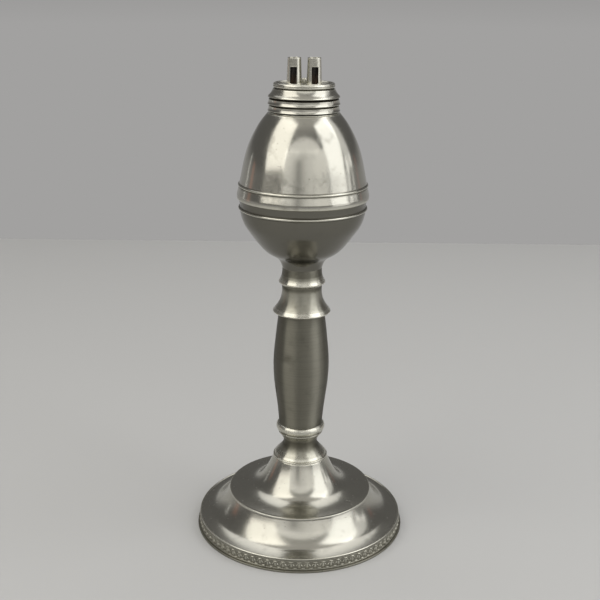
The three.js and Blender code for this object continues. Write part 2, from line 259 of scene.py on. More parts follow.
def shelter_of(points: Sequence[Point], closed: bool, reach: float) -> list[float]:
    """How sheltered each point of an outline is.

    Args:
        points: The traced outline.
        closed: Whether it comes back to its start.
        reach: How far along the outline the neighbours are that it is compared with.

    Returns:
        About 0 on an exposed edge, 0.5 on a plain stretch and 1 in a crevice.
    """
    count = len(points)

    def walk(index: int, step: int) -> Vector:
        """The place that lies one reach from a point, forwards or backwards."""
        left, place = reach, Vector(points[index])
        while left > 0:
            index += step
            if closed:
                index %= count
            elif not 0 <= index < count:
                return place
            following = Vector(points[index])
            gap = (following - place).length
            if gap >= left:
                return place.lerp(following, left / gap)
            left -= gap
            place = following
        return place

    shelters = []
    for index in range(count):
        before, after = walk(index, -1), walk(index, 1)
        along = (after - before).normalized()
        outward = Vector((along.y, -along.x))
        proud = (Vector(points[index]) - (before + after) / 2).dot(outward)
        shelters.append(min(1.0, max(0.0, 0.5 - proud / reach)))
    return shelters


# Bench: selecting, shaping and joining


def clear_selection() -> None:
    """Deselects everything."""
    bpy.ops.object.select_all(action="DESELECT")


def take(piece: Piece) -> None:
    """Selects one piece alone and makes it active."""
    clear_selection()
    piece.select_set(True)
    bpy.context.view_layer.objects.active = piece


@contextmanager
def editing(piece: Piece) -> Iterator[None]:
    """Edit mode on one piece, for the length of a with block."""
    take(piece)
    bpy.ops.object.mode_set(mode="EDIT")
    yield
    bpy.ops.object.mode_set(mode="OBJECT")


def pick_points(piece: Piece, test: Callable[[Vector], bool]) -> None:
    """Selects the vertices of the piece in edit mode whose place passes a test.

    Args:
        piece: The piece in edit mode.
        test: Says whether a vertex at this place is picked.
    """
    mesh = bmesh.from_edit_mesh(piece.data)
    bpy.ops.mesh.select_mode(type="VERT")
    for vertex in mesh.verts:
        vertex.select = test(vertex.co)
    mesh.select_flush_mode()
    bmesh.update_edit_mesh(piece.data)


def settle(piece: Piece) -> None:
    """Puts a piece's place, turn and scale into its mesh."""
    take(piece)
    bpy.ops.object.transform_apply(location=True, rotation=True, scale=True)


def face_outwards(piece: Piece) -> None:
    """Merges doubled points and turns all faces outwards."""
    with editing(piece):
        bpy.ops.mesh.select_all(action="SELECT")
        bpy.ops.mesh.remove_doubles(threshold=MERGE_DISTANCE)
        bpy.ops.mesh.normals_make_consistent(inside=False)


def smooth(piece: Piece, angle: float = SMOOTH_ANGLE) -> None:
    """Shades a piece smooth, with edges sharper than the angle kept."""
    take(piece)
    bpy.ops.object.shade_smooth_by_angle(angle=angle)


def copied(piece: Piece, turn: float = 0.0, across: float = 0.0) -> Piece:
    """A copy of a piece with its own mesh, turned round the lamp's axis and moved sideways.

    Args:
        piece: The piece to copy.
        turn: Angle round the axis, in radians.
        across: Distance along X, in metres.

    Returns:
        The copy, with its place in its mesh.
    """
    take(piece)
    bpy.ops.object.duplicate(linked=False)
    copy = bpy.context.active_object
    copy.rotation_euler = (0, 0, turn)
    copy.location = (across, 0, 0)
    settle(copy)
    return copy


def joined(pieces: Sequence[Piece], name: str) -> Piece:
    """Joins pieces into the first of them.

    Args:
        pieces: The pieces, the first of which stays.
        name: Its new name.

    Returns:
        The joined piece.
    """
    take(pieces[0])
    for piece in pieces:
        piece.select_set(True)
    if len(pieces) > 1:
        bpy.ops.object.join()
    pieces[0].name = name
    pieces[0].data.name = name
    return pieces[0]


def apply_modifier(piece: Piece, kind: str, **settings: object) -> None:
    """Gives a piece a modifier and applies it.

    Args:
        piece: The piece.
        kind: The modifier's type.
        **settings: The modifier's own settings.
    """
    take(piece)
    modifier = piece.modifiers.new(kind.lower(), kind)
    for name, value in settings.items():
        setattr(modifier, name, value)
    bpy.ops.object.modifier_apply(modifier=modifier.name)


def cut_with(piece: Piece, cutter: Piece) -> None:
    """Cuts one piece out of another and removes the cutter."""
    apply_modifier(piece, "BOOLEAN", operation="DIFFERENCE", solver="EXACT", object=cutter)
    bpy.data.objects.remove(cutter)


def mark_shelter(piece: Piece, rule: Callable[[Vector], float]) -> None:
    """Stores how sheltered each point is, for the finish to read.

    Args:
        piece: The piece.
        rule: Gives the shelter of a place, from 0 to 1.
    """
    marks = piece.data.attributes.get("shelter")
    if marks is None:
        marks = piece.data.attributes.new("shelter", "FLOAT", "POINT")
    marks.data.foreach_set("value", [rule(vertex.co) for vertex in piece.data.vertices])


@dataclass(frozen=True)
class Lathe:
    """Turns traced outlines into closed pieces.

    Attributes:
        facets: Steps round the piece.
        reach: Distance over which edges and crevices are told apart, in millimetres.
        seam_width: Distance from a seam within which the metal is neither edge nor crevice.
        seam_shelter: Its shelter there.
    """

    facets: int
    reach: float = 0.6
    seam_width: float = 0.6
    seam_shelter: float = 0.6

    def turn(
        self,
        name: str,
        outline: Outline,
        closed: bool = True,
        longest: float = 1.6,
        seams: Sequence[float] = (),
    ) -> Piece:
        """Traces an outline point by point and spins it round the axis.

        Args:
            name: The piece's name.
            outline: Its section.
            closed: Whether the section is closed, or starts and ends on the axis.
            longest: The longest stretch of the section left undivided.
            seams: Heights where it meets its neighbour without an edge of its own.

        Returns:
            The turned piece, marked with its shelter and shaded smooth.
        """
        points = outline.traced(closed, longest)
        clear_selection()
        bpy.ops.mesh.primitive_plane_add(size=MM)
        piece = bpy.context.active_object
        piece.name = name
        piece.data.name = name
        ring = points + points[:1] if closed else points
        with editing(piece):
            bpy.ops.mesh.select_all(action="SELECT")
            bpy.ops.mesh.merge(type="CENTER")
            bpy.ops.transform.translate(value=(ring[0][0] * MM, 0, ring[0][1] * MM))
            for (radius, height), (next_radius, next_height) in zip(ring, ring[1:]):
                step = ((next_radius - radius) * MM, 0, (next_height - height) * MM)
                bpy.ops.mesh.extrude_region_move(TRANSFORM_OT_translate={"value": step})
            bpy.ops.mesh.select_all(action="SELECT")
            bpy.ops.mesh.remove_doubles(threshold=MERGE_DISTANCE)
            bpy.ops.mesh.spin(steps=self.facets, angle=TAU, center=(0, 0, 0), axis=(0, 0, 1))
        face_outwards(piece)
        self._mark(piece, points, closed, seams)
        smooth(piece)
        return piece

    def _mark(
        self, piece: Piece, points: Sequence[Point], closed: bool, seams: Sequence[float]
    ) -> None:
        """Marks the piece with the shelter of the outline's nearest point."""
        shelters = []
        for shelter, (_, height) in zip(shelter_of(points, closed, self.reach), points):
            seamed = any(abs(height - seam) < self.seam_width for seam in seams)
            shelters.append(self.seam_shelter if seamed else shelter)
        tree = KDTree(len(points))
        for index, (radius, height) in enumerate(points):
            tree.insert((radius, height, 0.0), index)
        tree.balance()

        def rule(place: Vector) -> float:
            """The shelter at a place on the piece."""
            return shelters[tree.find((place.xy.length / MM, place.z / MM, 0.0))[1]]

        mark_shelter(piece, rule)


# Finishes


def linear(hex_color: str) -> tuple[float, float, float, float]:
    """Turns an sRGB hex colour into the linear one that Blender works in."""
    channels = [int(hex_color[i : i + 2], 16) / 255 for i in (1, 3, 5)]
    values = [c / 12.92 if c <= 0.04045 else ((c + 0.055) / 1.055) ** 2.4 for c in channels]
    return (*values, 1.0)


def add_node(tree: Tree, kind: str, inputs: dict, **settings: object) -> bpy.types.Node:
    """Adds a node with its settings and links.

    Args:
        tree: The node tree.
        kind: The node's type.
        inputs: Values or output sockets for its inputs, by name or number.
        **settings: The node's own settings.

    Returns:
        The new node.
    """
    node = tree.nodes.new(kind)
    for name, value in settings.items():
        setattr(node, name, value)
    for key, value in inputs.items():
        if isinstance(value, Socket):
            tree.links.new(value, node.inputs[key])
        else:
            node.inputs[key].default_value = value
    return node


def new_material(name: str) -> tuple[bpy.types.Material, Tree]:
    """An empty material and its node tree."""
    material = bpy.data.materials.new(name)
    material.use_nodes = True
    material.node_tree.nodes.clear()
    return material, material.node_tree


def close_material(tree: Tree, shader: bpy.types.Node) -> None:
    """Links a shader to the material's output."""
    add_node(tree, "ShaderNodeOutputMaterial", {"Surface": shader.outputs[0]})


# Sizes of the pewter's patterns in millimetres. The grain and the scratches are coarser than
# real ones, which would be too fine to show at this distance.
GRAIN_MM = 1.3
PIT_SPACING_MM = 2.6
WAVE_MM = 13.0
SCRATCH_MM = 14.0
SCRATCH_STRETCH = 22.0
SCRATCH_SLANTS = ((0.5, 0.35), (-0.8, 1.1))
LINE_DRIFT = 0.03
DULL_EDGE_MM = 0.3
PIT_DEPTH_MM = 0.02
CLOUD_DETAIL = 3.0

# How far the grain and the clouds shift the edge of the tarnish
GRAIN_SHIFT = 0.05
CLOUD_SHIFT = 0.2
# Share of the oxide below the height where a finish turns dull
DULL_BELOW_SHARE = 0.75
# What scratches and oxide add to the roughness
SCRATCH_ROUGHNESS = 0.05
OXIDE_ROUGHNESS = 0.2
# Turn of the stretched highlights, in full turns: out along the axis, across the lines
ACROSS_LINES = 0.25

# Where each mask begins and where it is full, on the scale of what it is made from
SCRATCH_RANGE = (0.66, 0.74)
PIT_RANGE = (0.13, 0.06)
WORN_RANGE = (0.44, 0.3)
PATCH_RANGE = (0.56, 0.76)
GROOVE_RANGE = (0.52, 0.34)


@dataclass(frozen=True)
class Pewter:
    """Cast pewter, turned on a lathe and rubbed bright.

    It is a warm grey metal with soft reflections, and it dulls where the cloth can't reach.

    Attributes:
        name: The material's name.
        clean_hex: Colour of the rubbed metal. The bowl's and the vase's are painted darker, as
            painted shade, and the vent's paler, as painted light.
        worn_hex: Colour of edges that handling keeps bright.
        tarnish_hex: Colour of the oxide in crevices and clouds.
        roughness: Roughness of the rubbed metal.
        clouding: How much the roughness wanders over the surface.
        line_mm: Spacing of the turning lines, coarser than real ones so that they show.
        line_depth_mm: Depth of the turning lines.
        line_tone: How much oxide the turning lines hold.
        wave_depth_mm: Depth of the slow waves that hand work leaves.
        scratch_depth_mm: Depth of the rubbing scratches.
        tarnish_from: Shelter at which the oxide begins, and one where it is full.
        patches: Share of the oxide in open patches.
        patch_mm: Size of the patches.
        pitting: How deep and dark the small pits are, from 0 to 1.
        dull_below_mm: Height from the table under which the metal is darker and duller.
        axis_x_mm: Where the piece's own axis stands, along X.
        brushing: How far the turning lines draw a highlight out along the axis.
    """

    name: str
    clean_hex: str = "#b9b7ad"
    worn_hex: str = "#d1cfc3"
    tarnish_hex: str = "#69675c"
    roughness: float = 0.2
    clouding: float = 0.05
    line_mm: float = 1.1
    line_depth_mm: float = 0.001
    line_tone: float = 0.0
    wave_depth_mm: float = 0.025
    scratch_depth_mm: float = 0.0007
    tarnish_from: tuple[float, float] = (0.64, 0.9)
    patches: float = 0.15
    patch_mm: float = 7.0
    pitting: float = 0.4
    dull_below_mm: float = -1.0
    axis_x_mm: float = 0.0
    brushing: float = 0.0

    def _noise(self, tree: Tree, place: Socket, size_mm: float, detail: float = 1.0) -> Socket:
        """Smooth noise whose features are about the given size."""
        inputs = {"Vector": place, "Scale": 1 / (size_mm * MM), "Detail": detail}
        return add_node(tree, "ShaderNodeTexNoise", inputs).outputs["Fac"]

    def _ramp(self, tree: Tree, value: Socket, low: float, high: float) -> Socket:
        """A mask that rises from 0 to 1 as a value goes from low to high."""
        inputs = {"Value": value, "From Min": low, "From Max": high}
        node = add_node(tree, "ShaderNodeMapRange", inputs, interpolation_type="SMOOTHSTEP")
        return node.outputs["Result"]

    def _sum(self, tree: Tree, terms: Sequence[tuple[Socket, float]], start: float) -> Socket:
        """Adds masks, each times its weight, to a starting value."""
        total: Value = start
        for value, weight in terms:
            inputs = {0: value, 1: weight, 2: total}
            total = add_node(tree, "ShaderNodeMath", inputs, operation="MULTIPLY_ADD").outputs[0]
        return total

    def _mixed(self, tree: Tree, mask: Socket, below: Value, hex_color: str) -> Socket:
        """Lays a colour over another one where a mask says so."""
        inputs = {"Factor": mask, 6: below, 7: linear(hex_color)}
        return add_node(tree, "ShaderNodeMix", inputs, data_type="RGBA").outputs[2]

    def _lines(self, tree: Tree, place: Socket, split: bpy.types.Node) -> Socket:
        """Turning lines: noise that changes along the section and hardly round the axis."""
        level = {"X": split.outputs[0], "Y": split.outputs[1]}
        level_place = add_node(tree, "ShaderNodeCombineXYZ", level).outputs[0]
        radius = add_node(tree, "ShaderNodeVectorMath", {0: level_place}, operation="LENGTH")
        section = {"X": radius.outputs["Value"], "Z": split.outputs[2]}
        ring = add_node(tree, "ShaderNodeCombineXYZ", section).outputs[0]
        inputs = {0: place, 1: (LINE_DRIFT, LINE_DRIFT, 0.0), 2: ring}
        drift = add_node(tree, "ShaderNodeVectorMath", inputs, operation="MULTIPLY_ADD")
        return self._noise(tree, drift.outputs[0], self.line_mm)

    def _scratches(self, tree: Tree, place: Socket) -> Socket:
        """Two sets of fine straight scratches, each on its own slant."""
        sets = []
        for turn, tilt in SCRATCH_SLANTS:
            stretch = (1.0, SCRATCH_STRETCH, SCRATCH_STRETCH)
            slant = {"Vector": place, "Rotation": (tilt, turn, turn), "Scale": stretch}
            slanted = add_node(tree, "ShaderNodeMapping", slant).outputs[0]
            noise = self._noise(tree, slanted, SCRATCH_MM)
            sets.append((self._ramp(tree, noise, *SCRATCH_RANGE), 1.0))
        return self._sum(tree, sets, 0.0)

    def build(self) -> bpy.types.Material:
        """Makes the material.

        Returns:
            The material, in true size on Object coordinates.
        """
        material, tree = new_material(self.name)
        coordinates = add_node(tree, "ShaderNodeTexCoord", {}).outputs["Object"]
        on_axis = {"Vector": coordinates, "Location": (-self.axis_x_mm * MM, 0, 0)}
        place = add_node(tree, "ShaderNodeMapping", on_axis).outputs[0]
        split = add_node(tree, "ShaderNodeSeparateXYZ", {"Vector": place})
        shelter = add_node(tree, "ShaderNodeAttribute", {}, attribute_name="shelter").outputs["Fac"]
        lines = self._lines(tree, place, split)
        waves = self._noise(tree, place, WAVE_MM)
        clouds = self._noise(tree, place, self.patch_mm, CLOUD_DETAIL)
        grain = self._noise(tree, place, GRAIN_MM)
        scratched = self._scratches(tree, place)
        cell_size = {"Vector": place, "Scale": 1 / (PIT_SPACING_MM * MM)}
        cells = add_node(tree, "ShaderNodeTexVoronoi", cell_size)
        pits = self._ramp(tree, cells.outputs["Distance"], *PIT_RANGE)
        shifts = [(grain, GRAIN_SHIFT), (clouds, CLOUD_SHIFT), (shelter, 1.0)]
        broken = self._sum(tree, shifts, -(GRAIN_SHIFT + CLOUD_SHIFT) / 2)
        dull_edge = ((self.dull_below_mm + DULL_EDGE_MM) * MM, self.dull_below_mm * MM)
        holders = [
            (self._ramp(tree, clouds, *PATCH_RANGE), self.patches),
            (self._ramp(tree, broken, *self.tarnish_from), 1.0),
            (pits, self.pitting),
            (self._ramp(tree, split.outputs[2], *dull_edge), DULL_BELOW_SHARE),
            (self._ramp(tree, lines, *GROOVE_RANGE), self.line_tone),
        ]
        held = {"Value": self._sum(tree, holders, 0.0)}
        # On the neck's top this mask also carries painted shade, from the shelter that its seam is
        # given.
        oxide = add_node(tree, "ShaderNodeClamp", held).outputs[0]
        worn = self._ramp(tree, shelter, *WORN_RANGE)
        rubbed = self._mixed(tree, worn, linear(self.clean_hex), self.worn_hex)
        uneven = [
            (clouds, self.clouding),
            (grain, self.clouding),
            (scratched, SCRATCH_ROUGHNESS),
            (oxide, OXIDE_ROUGHNESS),
        ]
        relief = [
            (lines, self.line_depth_mm),
            (waves, self.wave_depth_mm),
            (scratched, -self.scratch_depth_mm),
            (pits, -PIT_DEPTH_MM * self.pitting),
        ]
        surface = {"Height": self._sum(tree, relief, 0.0), "Distance": MM, "Strength": 1.0}
        inputs = {
            "Base Color": self._mixed(tree, oxide, rubbed, self.tarnish_hex),
            "Metallic": 1.0,
            "Roughness": self._sum(tree, uneven, self.roughness - self.clouding),
            "Normal": add_node(tree, "ShaderNodeBump", surface).outputs[0],
            "Anisotropic": self.brushing,
            "Anisotropic Rotation": ACROSS_LINES,
        }
        shader = add_node(tree, "ShaderNodeBsdfPrincipled", inputs)
        if self.brushing:
            tangent = add_node(tree, "ShaderNodeTangent", {}, direction_type="RADIAL", axis="Z")
            tree.links.new(tangent.outputs[0], shader.inputs["Tangent"])
        close_material(tree, shader)
        return material


@dataclass(frozen=True)
class OiledLeather:
    """Vegetable-tanned washer leather, black with oil: a dull grain with a faint shine.

    Attributes:
        name: The material's name.
        dark_hex: Colour in the grain's valleys.
        light_hex: Colour on its ridges.
        grain_mm: Size of the grain.
        grain_depth_mm: Its depth.
        cloud_mm: Size of the paler clouds.
        grain_strength: How strongly the grain catches the light.
        roughness: Roughness of the oiled face.
    """

    name: str = "oiled_washer_leather"
    dark_hex: str = "#17110c"
    light_hex: str = "#3a2a1c"
    grain_mm: float = 0.5
    grain_depth_mm: float = 0.05
    cloud_mm: float = 3.0
    grain_strength: float = 0.8
    roughness: float = 0.62

    def build(self) -> bpy.types.Material:
        """Makes the material.

        Returns:
            The material.
        """
        material, tree = new_material(self.name)
        place = add_node(tree, "ShaderNodeTexCoord", {}).outputs["Object"]
        grain = add_node(
            tree, "ShaderNodeTexVoronoi", {"Vector": place, "Scale": 1 / (self.grain_mm * MM)}
        )
        cloud = add_node(
            tree, "ShaderNodeTexNoise", {"Vector": place, "Scale": 1 / (self.cloud_mm * MM)}
        )
        dark, light = linear(self.dark_hex), linear(self.light_hex)
        tones = {"Factor": cloud.outputs["Fac"], 6: dark, 7: light}
        color = add_node(tree, "ShaderNodeMix", tones, data_type="RGBA")
        relief = {
            "Height": grain.outputs["Distance"],
            "Distance": self.grain_depth_mm * MM,
            "Strength": self.grain_strength,
        }
        inputs = {
            "Base Color": color.outputs[2],
            "Roughness": self.roughness,
            "Normal": add_node(tree, "ShaderNodeBump", relief).outputs[0],
        }
        close_material(tree, add_node(tree, "ShaderNodeBsdfPrincipled", inputs))
        return material


@dataclass(frozen=True)
class WickCotton:
    """Loose cotton wick: charred black at its top, brown with old oil below, then cream.

    Attributes:
        name: The material's name.
        char_hex: Colour of the burnt end.
        brown_hex: Colour of the oil-soaked part in the tube.
        cotton_hex: Colour of the part that hangs in the oil.
        char_mm: Height above which it is burnt.
        char_spread_mm: Length over which the burnt part begins.
        brown_mm: Height above which it is brown.
        brown_spread_mm: Length over which the brown part begins.
        fibre_mm: Thickness of a fibre.
        fibre_depth_mm: Depth between the fibres.
        fibre_stretch: A fibre's thickness over its length.
        roughness: Roughness of the cotton.
        fuzz: How much of the light its loose ends scatter.
    """

    name: str = "charred_cotton_wick"
    char_hex: str = "#15110d"
    brown_hex: str = "#3d2b19"
    cotton_hex: str = "#b3a27c"
    char_mm: float = 206.0
    char_spread_mm: float = 5.0
    brown_mm: float = 186.0
    brown_spread_mm: float = 6.0
    fibre_mm: float = 0.35
    fibre_depth_mm: float = 0.12
    fibre_stretch: float = 0.12
    roughness: float = 0.85
    fuzz: float = 0.15

    def build(self) -> bpy.types.Material:
        """Makes the material.

        Returns:
            The material.
        """
        material, tree = new_material(self.name)
        place = add_node(tree, "ShaderNodeTexCoord", {}).outputs["Object"]
        height = add_node(tree, "ShaderNodeSeparateXYZ", {"Vector": place}).outputs[2]
        along = {"Vector": place, "Scale": (1.0, 1.0, self.fibre_stretch)}
        fibre_place = add_node(tree, "ShaderNodeMapping", along).outputs[0]
        fine = {"Vector": fibre_place, "Scale": 1 / (self.fibre_mm * MM), "Detail": 3.0}
        fibres = add_node(tree, "ShaderNodeTexNoise", fine).outputs["Fac"]
        color: Value = linear(self.cotton_hex)
        for edge_mm, spread_mm, hex_color in (
            (self.brown_mm, self.brown_spread_mm, self.brown_hex),
            (self.char_mm, self.char_spread_mm, self.char_hex),
        ):
            ragged = {0: fibres, 1: spread_mm * 2 * MM, 2: height}
            uneven = add_node(tree, "ShaderNodeMath", ragged, operation="MULTIPLY_ADD")
            span = {
                "Value": uneven.outputs[0],
                "From Min": (edge_mm + spread_mm * 0.5) * MM,
                "From Max": (edge_mm + spread_mm * 1.5) * MM,
            }
            mask = add_node(tree, "ShaderNodeMapRange", span).outputs[0]
            tones = {"Factor": mask, 6: color, 7: linear(hex_color)}
            color = add_node(tree, "ShaderNodeMix", tones, data_type="RGBA").outputs[2]
        relief = {"Height": fibres, "Distance": self.fibre_depth_mm * MM, "Strength": 1.0}
        inputs = {
            "Base Color": color,
            "Roughness": self.roughness,
            "Sheen Weight": self.fuzz,
            "Normal": add_node(tree, "ShaderNodeBump", relief).outputs[0],
        }
        close_material(tree, add_node(tree, "ShaderNodeBsdfPrincipled", inputs))
        return material


@dataclass
class Dresser:
    """Hands finished pieces over to the frame.

    Attributes:
        materials: The materials made so far, by name.
    """

    materials: dict[str, bpy.types.Material] = field(default_factory=dict)

    def dress(
        self,
        piece: Piece,
        body: Body,
        slot: Slot,
        finish: Union[Pewter, OiledLeather, WickCotton],
        node: Optional[str] = None,
    ) -> Piece:
        """Gives a piece its finish and its body.

        Args:
            piece: The finished piece.
            body: The body that it rides on.
            slot: The record's slot that its finish comes from; not used.
            finish: What it is made of.
            node: The CAD node that it stands for, if any.

        Returns:
            The piece.
        """
        if finish.name not in self.materials:
            self.materials[finish.name] = finish.build()
        piece.data.materials.clear()
        piece.data.materials.append(self.materials[finish.name])
        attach(piece, body.value)
        if node:
            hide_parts(node)
        log.info("%s: %d faces, on %s", piece.name, len(piece.data.polygons), body.value)
        return piece


# The collar: bright, with highlights that the turning lines draw out a little.
POLISHED = Pewter("polished_turned_pewter", brushing=0.35)
# The acorn: the most rubbed and mirror-like part, with faint waves and cloudy patches.
ACORN_PEWTER = Pewter(
    "polished_acorn_pewter", roughness=0.165, clouding=0.08, wave_depth_mm=0.032, patches=0.3
)
# The bowl: painted dark grey and even, a painted shade for the dark reflection under the font;
# still smooth enough to mirror the stem, with a bright bead.
BOWL_PEWTER_PAINTED_SHADE = Pewter(
    "bowl_pewter_painted_shade",
    clean_hex="#74726a",
    worn_hex="#c7c5ba",
    tarnish_hex="#5c5a51",
    roughness=0.18,
)
# The foot: bright above, and darker and duller from the border's height down.
FOOT_PEWTER = Pewter("rubbed_foot_pewter", dull_below_mm=5.7, brushing=0.35)
# The vase: a satin face with fine rings, whose highlights run straight up and down. Its colours are
# painted darker than the other pewter, a painted shade for the dark reflection on its face.
SATIN = Pewter(
    "satin_turned_pewter_painted_shade",
    clean_hex="#868479",
    tarnish_hex="#5c5a50",
    roughness=0.48,
    clouding=0.08,
    line_mm=0.5,
    line_depth_mm=0.003,
    line_tone=0.1,
    patches=0.4,
    patch_mm=9.0,
    pitting=0.15,
    brushing=1.0,
)
# The stem's rings: soft grey coves between edges that handling keeps bright.
STEM_PEWTER = Pewter(
    "dulled_stem_pewter",
    clean_hex="#b0aea2",
    roughness=0.27,
    tarnish_from=(0.47, 0.84),
    pitting=0.1,
    brushing=0.9,
)
# The burner: bright, with a silky shine and dark grooves.
BURNER_PEWTER = Pewter("satin_burner_pewter", roughness=0.23, pitting=0.1, brushing=0.3)
# The vent: matt, and painted paler than the other pewter, a painted light that keeps it bright
# where it sits in shade.
VENT_PEWTER_PAINTED_LIGHT = Pewter(
    "vent_pewter_painted_light",
    clean_hex="#cfcdc2",
    roughness=0.42,
    line_depth_mm=0.0,
    patches=0.05,
    pitting=0.0,
)
# The border: as it was cast, with dull grounds and paler leaves.
BORDER = Pewter(
    "cast_border_pewter",
    clean_hex="#afada1",
    worn_hex="#bcbaaf",
    tarnish_hex="#848278",
    roughness=0.36,
    line_depth_mm=0.0,
    tarnish_from=(0.55, 0.9),
)
# The tubes: thin rolled sheet, pale and blotched by heat. The right one is a little paler.
LEFT_TUBE = Pewter(
    "worn_tube_pewter_left",
    clean_hex="#cac8bc",
    roughness=0.19,
    clouding=0.07,
    patches=0.7,
    patch_mm=3.5,
    pitting=0.1,
    axis_x_mm=-4.15,
)
RIGHT_TUBE = Pewter(
    "worn_tube_pewter_right",
    clean_hex="#d1cfc4",
    tarnish_hex="#7b796e",
    roughness=0.22,
    clouding=0.07,
    patches=0.7,
    patch_mm=3.0,
    pitting=0.2,
    axis_x_mm=4.15,
)
# The solder: a dull, uneven bead.
SOLDER = Pewter(
    "soft_solder", clean_hex="#a5a39a", roughness=0.4, line_depth_mm=0.0, wave_depth_mm=0.1
)


# Sub-assemblies


@dataclass(frozen=True)
class Leaf:
    """One ridged leaf of the border's motif.

    Attributes:
        width: Its width.
        tall: Its height.
        relief: How far its ridge stands out.
        x: Its place across the motif.
        z: Its height above the table.
        slant: Its lean to the side, in degrees.
    """

    width: float
    tall: float
    relief: float
    x: float
    z: float
    slant: float = 0.0


@dataclass
class Foot:
    """The stepped round foot, hollow underneath, with the leaf border let into its edge.

    Attributes:
        base_radius: Radius of the plain fillet on the table.
        rim_radius: Radius of the rim above the border.
        rim_height: Height of the rim.
        fillet_height: Height of the plain fillet.
        border_top: Height of the border's top edge.
        border_depth: How deep the border is let in.
        platform_radius: Radius of the upper platform.
        platform_height: Its height.
        neck_radius: Radius at the top of the dome.
        height: Height of the whole foot.
        wall: Thickness of the casting.
        socket_radius: Radius of the socket for the stem.
        socket_depth: Its depth.
        leaves: The leaves of one motif: an upright one, its cap, two side ones, and the one that
            links it with the next motif.
        motif_count: Motifs round the border.
        leaf_root: How deep each leaf is let into the strip.
        leaf_relief: Height over which a leaf comes clear of the oxide.
    """

    base_radius: float = 48.0
    rim_radius: float = 46.9
    rim_height: float = 6.2
    fillet_height: float = 0.9
    border_top: float = 5.5
    border_depth: float = 0.7
    platform_radius: float = 32.9
    platform_height: float = 17.85
    neck_radius: float = 12.3
    height: float = 33.8
    wall: float = 2.2
    socket_radius: float = 9.4
    socket_depth: float = 3.4
    leaves: tuple[Leaf, ...] = (
        Leaf(1.25, 2.5, 0.55, 0.0, 2.85),
        Leaf(2.3, 0.62, 0.42, 0.0, 4.55),
        Leaf(0.62, 1.9, 0.34, -1.1, 3.3, 38.0),
        Leaf(0.62, 1.9, 0.34, 1.1, 3.3, -38.0),
        Leaf(1.9, 0.55, 0.3, 1.77, 1.75),
    )
    motif_count: int = 84
    leaf_root: float = 0.35
    leaf_relief: float = 0.5

    def _step(self) -> list[Point]:
        """The cove that rises from the ledge behind the rim to the edge of the platform."""
        shares = [
            (0, 0), (0.13, 0.025), (0.26, 0.06), (0.38, 0.11), (0.505, 0.205),
            (0.665, 0.38), (0.8, 0.575), (0.905, 0.775), (1, 1),
        ]
        start = (self.rim_radius - 0.9, self.rim_height - 0.15)
        end = (self.platform_radius, self.platform_height - 0.6)
        return laid_between(start, end, shares)

    def _dome(self) -> list[Point]:
        """The platform and the dome that rises from it to the stem."""
        shares = [
            (0, 0), (0.17, 0.028), (0.35, 0.053), (0.51, 0.113), (0.65, 0.235),
            (0.775, 0.426), (0.879, 0.654), (0.956, 0.858), (1, 1),
        ]
        start = (self.platform_radius - 0.6, self.platform_height)
        return laid_between(start, (self.neck_radius, self.height), shares)

    def casting(self) -> Piece:
        """Turns the foot.

        Returns:
            The foot, closed all round.
        """
        groove = self.rim_radius - self.border_depth
        socket_floor = self.height - self.socket_depth
        inside = [
            (self.socket_radius, socket_floor - 0.4), (14.2, 26.2), (16.3, 21.6), (19.8, 17.9),
            (24.5, 16.0), (30.2, 15.2), (31.8, 13.4), (33.5, 10.8), (35.6, 8.3), (38.0, 6.2),
            (40.4, 4.9), (42.4, 4.2), (43.9, 3.4),
        ]
        outline = Outline(
            (self.rim_radius - self.wall, 0, 0.3),
            (self.base_radius, 0, 0.25),
            (self.base_radius, self.fillet_height, 0.3),
            (groove, self.fillet_height),
            (groove, self.border_top),
            (self.rim_radius, self.border_top, 0.2),
            (self.rim_radius, self.rim_height, 0.25),
            (self.rim_radius - 0.5, self.rim_height + 0.12, 0.2),
            *swept(self._step(), 0.6, 0.8),
            (self.platform_radius - 0.05, self.platform_height, 0.45),
            *swept(self._dome(), 0.7, 1.2)[:-1],
            (self.neck_radius, self.height, 0.2),
            (self.socket_radius, self.height),
            (self.socket_radius, socket_floor),
            *swept(inside, 2.2, 1.5),
        )
        return Lathe(facets=160).turn("turned_foot", outline, longest=2.0)

    def _petal(self, leaf: Leaf) -> Piece:
        """Models one leaf that stands on the border's face, in front of the lamp.

        Args:
            leaf: Its sizes and its place.

        Returns:
            The leaf, closed all round.
        """
        clear_selection()
        bpy.ops.mesh.primitive_circle_add(
            vertices=8, radius=MM / 2, fill_type="TRIFAN", rotation=UPRIGHT
        )
        petal = bpy.context.active_object
        settle(petal)
        with editing(petal):
            bpy.ops.mesh.select_all(action="SELECT")
            bpy.ops.transform.resize(value=(leaf.width, 1, leaf.tall))
            pick_points(petal, lambda place: place.length < 0.1 * MM)
            bpy.ops.transform.translate(value=(0, -leaf.relief * MM, 0))
            pick_points(petal, lambda place: place.y > -0.01 * MM)
            bpy.ops.mesh.region_to_loop()
            rooted = {"value": (0, self.leaf_root * MM, 0)}
            bpy.ops.mesh.extrude_edges_move(TRANSFORM_OT_translate=rooted)
            bpy.ops.mesh.edge_face_add()
            bpy.ops.mesh.select_all(action="SELECT")
            bpy.ops.mesh.normals_make_consistent(inside=False)
        petal.rotation_euler = (0, math.radians(leaf.slant), 0)
        petal.location = (leaf.x * MM, -self.rim_radius * MM, leaf.z * MM)
        settle(petal)
        return petal

